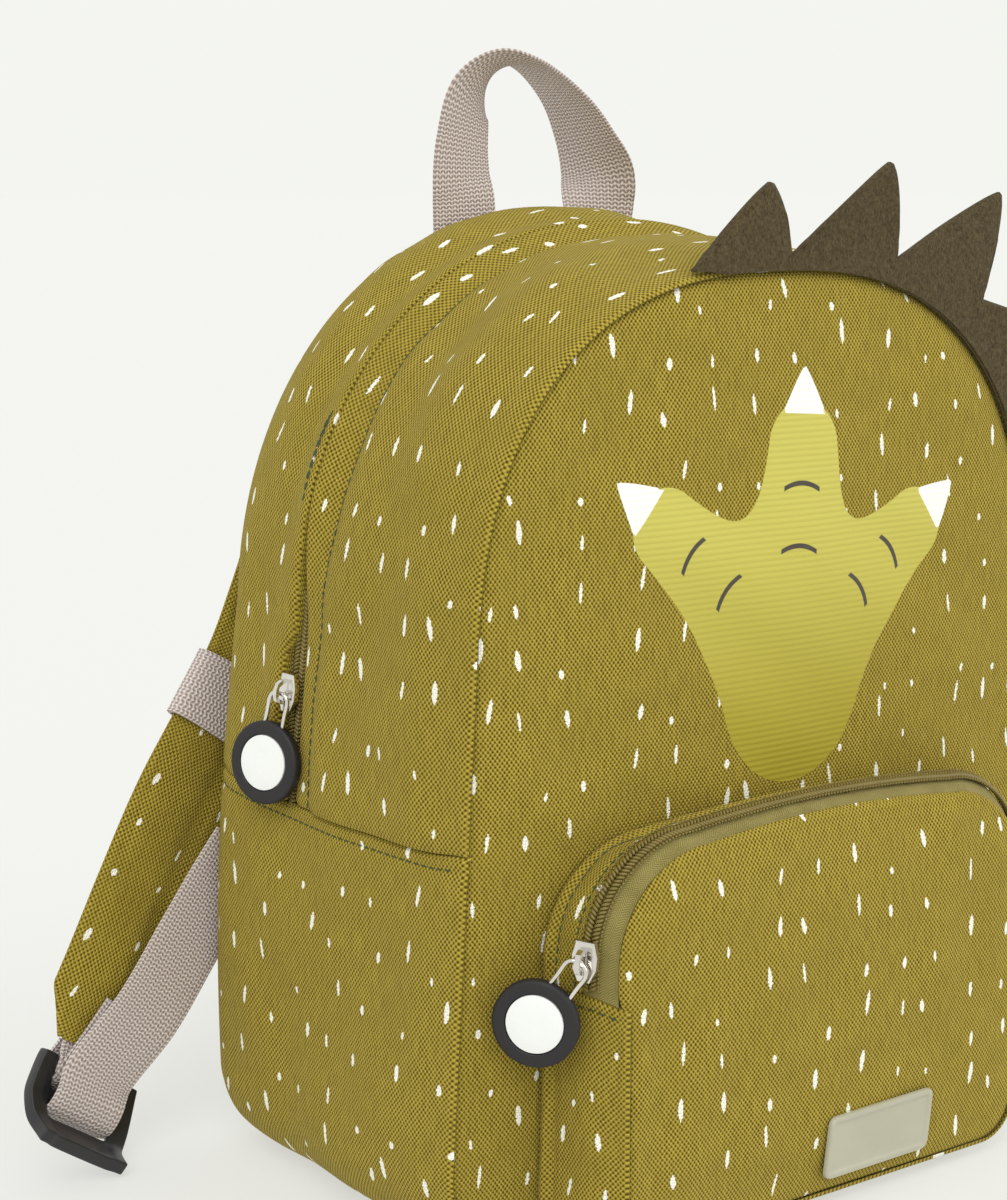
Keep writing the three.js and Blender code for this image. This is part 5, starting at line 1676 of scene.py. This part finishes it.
# The buckle's frame: x across the webbing, y towards the back, z up the strap.
buckle = {
    "origin": (-168.5, 67.5, 19),
    "lean": 28,
    "thickness": 4.4,
    "half": 18.4,
    "slot": 13.1,
    "curve": {  # how far back its plate lies, at heights from the lip up
        -15.5: -8.6,
        -12.6: -5.2,
        -10: -2.4,
        -7.6: -0.8,
        -1.6: 0.4,
        0.5: 0.6,
        2.6: 0.4,
        9.4: -0.4,
        11.2: -0.8,
        13: -1.4,
    },
    "slotFeet": (-7.6, 2.6),
    "bevel": 0.7,
}
lean = math.radians(buckle["lean"])
buckleAcross = Vector((0.83, 0, -0.56)).normalized()
buckleUp = Vector((0.56 * math.cos(lean), math.sin(lean), 0.83 * math.cos(lean)))
buckleBack = buckleUp.cross(buckleAcross).normalized()
buckleFrame = Matrix((buckleAcross, buckleBack, buckleUp.normalized())).transposed().to_4x4()
buckleFrame.translation = Vector(buckle["origin"])


def inBuckle(x, y, z):
    return tuple(buckleFrame @ Vector((x, y, z)))


def onBar(y, z):  # a station of the webbing round the buckle's bars
    return inBuckle(0, y, z), tuple(buckleAcross)


def inStrap(y, z):  # a station at the strap's lower end
    centre, tangent, across, normal = strapPath.frames([1.0])
    return tuple(centre[0] + normal[0] * y + tangent[0] * z), tuple(across[0])


def makeBuckleLoop():
    into = [inStrap(-1.2, -10), inStrap(-1.2, -4), inStrap(-1.2, 0.6)]
    bar = [(3.4, 13.5), (3.5, 11), (2.6, 8.4), (0, 7.6), (-2.6, 8.4), (-3.5, 11), (-3.4, 13.5)]
    back = [inStrap(1.2, 0.6), inStrap(1.2, -4), inStrap(1.2, -10)]
    return webbingRun("buckle_loop_left_webbing", into + [onBar(*place) for place in bar] + back, 90, (40, 0))


longWebbing = {
    "across": (0.78, 0, -0.63),
    "down": [(-107, 67.4, 93), (-116, 67.1, 82), (-128, 65.9, 67), (-145, 64, 46)],
    "bars": [
        (-8.2, 9.5),
        (-6.6, 1.5),
        (-3.4, -3.4),
        (0, -4.5),
        (3.3, -3.2),
        (4.2, 0.6),
        (3.2, 3.8),
        (0, 4.9),
        (-3, 5.9),
        (-5.2, 9.2),
    ],
    "tail": [(-156, 66.9, 35), (-147.5, 66.5, 45)],
}


def makeLongWebbing():
    look = longWebbing
    down, tail = ([(place, look["across"]) for place in look[part]] for part in ("down", "tail"))
    stations = down + [onBar(*place) for place in look["bars"]] + tail
    return webbingRun("long_webbing_left_webbing", stations, 260, (80, 0))


def makeBuckle():  # rails and bars from a plate with two slots, rounded over, its lip curled forward
    look = buckle
    half, slot = look["half"], look["slot"]
    xs = [-half, -slot - 1.6, -slot, -slot / 2, 0, slot / 2, slot, slot + 1.6, half]
    curve = look["curve"]
    zs = list(curve)
    points, faces, index = [], [], {}
    for r, z in enumerate(zs):
        for c, x in enumerate(xs):
            narrow = 1 - 0.16 * smooth(np.array(-z), 4, 15)
            bulge = 1.2 * math.cos(math.pi * (z - 1) / 24) if c in (0, len(xs) - 1) else 0
            rail = -1.2 if abs(x) > slot + 1 else 0
            index[r, c] = len(points)
            points.append(inBuckle(float(x * narrow) + math.copysign(bulge, x), curve[z] + rail, z))
    for r in range(len(zs) - 1):
        for c in range(len(xs) - 1):
            inSlot = 2 <= c < 6 and zs[r] in look["slotFeet"]
            if not inSlot:
                faces.append((index[r, c], index[r, c + 1], index[r + 1, c + 1], index[r + 1, c]))
    piece = meshPiece("ladder_buckle_left_body", np.array(points), faces, blackPlastic, sharp=180)
    sharpOnly = {"limit_method": "ANGLE", "angle_limit": math.radians(40)}
    for kind, values in (
        ("SOLIDIFY", {"thickness": look["thickness"] * mm, "offset": 0}),
        ("BEVEL", {"width": look["bevel"] * mm, "segments": 2, **sharpOnly}),
        ("SUBSURF", {"levels": 2, "render_levels": 2}),
    ):
        modifier = piece.modifiers.new(kind.lower(), kind)
        for key, value in values.items():
            setattr(modifier, key, value)
    evaluated = piece.evaluated_get(bpy.context.evaluated_depsgraph_get())
    plain = bpy.data.meshes.new_from_object(evaluated)
    piece.modifiers.clear()
    piece.data = plain
    return piece


def strapStitches():  # a bar tack under the keeper, and a box of stitches over the strap's end
    look = strap

    def onStrap(points):
        shares = np.array([p[1] for p in points])
        across = np.array([p[0] for p in points])
        centre, _, side, normal = strapPath.frames(shares)
        wide = strapWidth(shares)
        plump = look["thickness"] / 2 * (1 - np.abs(2 * across / wide) ** 3.2) ** 0.62
        relief = strapRelief(across, shares * look["length"], np.ones(len(shares)))
        plump = np.maximum(plump, 0.4) + relief + 0.25
        return centre + side * across[:, None] - normal * plump[:, None], -normal

    lines = [onStrap([(x, share) for x in np.linspace(*look["tackReach"], 14)]) for share in look["tackRows"]]
    for x in look["boxAcross"]:
        lines.append(onStrap([(x, share) for share in np.linspace(*look["boxAlong"], 10)]))
    lines.append(onStrap([(x, look["boxAlong"][0]) for x in np.linspace(*look["boxAcross"], 10)]))
    return sewnRows("strap_stitches_left", lines, material=thread, **stitch)


strapPieces = [
    (makeStrap, "shoulder_strap", "canvas", "shoulder_strap_right_pad"),
    (makeKeeper, "strap_keeper", "webbing", "strap_keeper_right_webbing"),
    (makeBuckleLoop, "buckle_loop", "webbing", "buckle_loop_right_webbing"),
    (makeLongWebbing, "long_webbing", "webbing", "long_webbing_right_webbing"),
    (makeBuckle, "ladder_buckle", "buckle_plastic", "ladder_buckle_right_body"),
    (strapStitches, None, "canvas", "strap_stitches_right"),
]
for make, node, slot, twinName in strapPieces:
    left = make()
    right = mirroredPiece(left, twinName)
    for piece, side in ((left, "left"), (right, "right")):
        ride(piece, "bag", slot, *([f"{node}_{side}"] if node else []))
print("straps made")

# Zip pulls. Each frame is x along the hinge, y out of the disc's face, z up to the hinge.
pulls = {
    "main": {
        "origin": (-120.836, 20.715, 152.497),
        "hinge": (-0.31342, 0.93045, 0.18981),
        "face": (-0.9367, -0.3357, 0.0991),
    },
    "pocket": {
        "origin": (-90.560, -85.116, 91.304),
        "hinge": (-0.48633, 0.66351, 0.56854),
        "face": (-0.7932, -0.6081, 0.0312),
    },
}
pullSizes = {
    "wire": 1.3,
    "loop": 6.6,
    "length": 21.5,
    "disc": 25,
    "thickness": 3.6,
    "insert": 16.6,
    "gap": 0.3,
    "depth": 0.9,  # of the insert's recess
}


def lathePiece(name, profile, basis, origin, material, segments=72):
    # profile is (radius, height) from the axis out and back to it; the axis is the basis's second row
    profile = np.array(profile)
    angle = np.linspace(0, math.tau, segments, endpoint=False)
    ring = profile[1:-1]
    local = [np.array([[0, profile[0, 1], 0], [0, profile[-1, 1], 0]])]
    for radius, height in ring:
        level = np.full(segments, height)
        local.append(np.stack([radius * np.cos(angle), level, radius * np.sin(angle)], axis=-1))
    points = np.concatenate(local) @ np.array(basis) + np.array(origin)
    faces = []
    rows = len(ring)
    for k in range(segments):
        n = (k + 1) % segments
        faces.append((0, 2 + k, 2 + n))
        for r in range(rows - 1):
            a = 2 + r * segments
            faces.append((a + k, a + segments + k, a + segments + n, a + n))
        a = 2 + (rows - 1) * segments
        faces.append((a + k, 1, a + n))
    middle = points.mean(axis=0)
    return meshPiece(name, points, facingOut(points - middle, faces), material, sharp=35)


def makePull(prefix, place):
    look = pullSizes
    hinge, face = unit(np.array(place["hinge"])), unit(np.array(place["face"]))
    up = np.cross(hinge, face)
    basis = np.stack([hinge, face, up])
    origin = np.array(place["origin"])
    body = f"{prefix}_pull"
    half, low = look["loop"] / 2, -(look["length"] - look["disc"] / 2 + 3)
    rightSide = [(half - 2, 0), (half - 0.7, -0.7), (half, -2), (half, -6), (half, low)]
    loopPoints = [(-x, z) for x, z in rightSide[::-1]] + [(0, 0)] + rightSide
    places = np.array([(x, 0, z) for x, z in loopPoints]) @ basis + origin
    path = Path(places, [face] * len(places))
    section = roundedSection(14, 1.0)
    wire = ribbonPiece(
        f"{prefix}_pull_wire_bent", path, lambda s: np.full(len(s), look["wire"]), look["wire"], section, 64,
        nickel,
    )
    ride(wire, body, "nickel", f"{prefix}_pull_wire")
    centre = origin - up * look["length"]
    r, h = look["disc"] / 2, look["thickness"] / 2
    recess = look["insert"] / 2 + look["gap"]
    floor = h - look["depth"] - look["gap"]
    profile = [
        (0, -h),
        (r - 1.1, -h),
        (r - 0.5, -h + 0.15),
        (r - 0.15, -h + 0.5),
        (r, -h + 1.0),
        (r, h - 1.0),
        (r - 0.12, h - 0.6),
        (r - 0.45, h - 0.25),
        (r - 0.8, h - 0.1),
        (r - 1.2, h),
        (recess + 0.25, h),
        (recess, h - 0.2),
        (recess, floor),
        (0, floor),
    ]
    disc = lathePiece(f"{prefix}_pull_disc_ring", profile, basis, centre, rubber)
    ride(disc, body, "pull_rubber", f"{prefix}_pull_disc")
    i = look["insert"] / 2
    profile = [
        (0, h - look["depth"]),
        (i, h - look["depth"]),
        (i, h - 0.28),
        (i - 0.1, h - 0.1),
        (i - 0.35, h),
        (i * 0.5, h + 0.02),
        (0, h + 0.03),
    ]
    insert = lathePiece(f"{prefix}_pull_face", profile, basis, centre, enamel)
    ride(insert, body, "pull_face", f"{prefix}_pull_insert")


for prefix, place in pulls.items():
    makePull(prefix, place)
for name in ("main_slider", "pocket_slider"):
    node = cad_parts[name]
    for i in range(len(node.material_slots)):
        node.material_slots[i].material = nickel
print("pulls made")

# Studio: a pale floor, a pale backdrop light and soft lights.
studio = {
    "background": colour(244, 245, 240),
    "floor": (0.276, 0.276, 0.272, 1.0),
    "floorGlow": 0.62,  # a lit table: shadows on it stay soft and pale
    "floorSize": 40.0,
    "ambient": 0.97,
    "lights": [  # name, the way that it shines, its spread in degrees, strength
        ("key", (0.55, 0.6, -0.8), 40, 1.12),
        ("fill", (-0.7, 0.55, -0.55), 50, 0.8),
    ],
    "cameraPlace": (-0.4820, -0.5847, 0.3018),
    "cameraForward": (0.58199, 0.79519, -0.17021),
    "lens": 72.69,
}


def makeStudio():
    look = studio
    scene = bpy.context.scene
    scene.view_settings.view_transform = "Standard"
    world = bpy.data.worlds.new("studioWorld")
    world.use_nodes = True
    scene.world = world
    tree = world.node_tree
    tree.nodes.clear()
    output = tree.nodes.new("ShaderNodeOutputWorld")
    choose = tree.nodes.new("ShaderNodeMixShader")
    rays = tree.nodes.new("ShaderNodeLightPath")
    for slotIndex, strength in ((1, look["ambient"]), (2, 1.0)):
        background = tree.nodes.new("ShaderNodeBackground")
        background.inputs["Color"].default_value = look["background"]
        background.inputs["Strength"].default_value = strength
        tree.links.new(background.outputs[0], choose.inputs[slotIndex])
    tree.links.new(rays.outputs["Is Camera Ray"], choose.inputs[0])
    tree.links.new(choose.outputs[0], output.inputs[0])
    size = look["floorSize"]
    corners = [(-size, -size, 0), (size, -size, 0), (size, size, 0), (-size, size, 0)]
    mesh = bpy.data.meshes.new("studioFloor")
    mesh.from_pydata(corners, [], [(0, 1, 2, 3)])
    floor = bpy.data.objects.new("studioFloor", mesh)
    scene.collection.objects.link(floor)
    table = Finish("paleFloor", roughness=1.0, shine=0.0)
    table.surface.inputs["Emission Color"].default_value = look["background"]
    table.surface.inputs["Emission Strength"].default_value = look["floorGlow"]
    mesh.materials.append(table.finish(look["floor"], None, 0))
    for name, heading, spread, strength in look["lights"]:
        light = bpy.data.lights.new(name, "SUN")
        light.angle = math.radians(spread)
        light.energy = strength
        lamp = bpy.data.objects.new(name, light)
        lamp.location = -2 * Vector(heading)
        lamp.rotation_euler = Vector(heading).to_track_quat("-Z", "Y").to_euler()
        scene.collection.objects.link(lamp)
    camera = bpy.data.cameras.new("photoView")
    camera.sensor_fit = "VERTICAL"
    camera.sensor_height = 36
    camera.lens = look["lens"]
    camera.clip_start = 0.01
    view = bpy.data.objects.new("photoView", camera)
    view.location = look["cameraPlace"]
    view.rotation_euler = Vector(look["cameraForward"]).to_track_quat("-Z", "Y").to_euler()
    scene.collection.objects.link(view)
    scene.camera = view


makeStudio()
print("studio made")
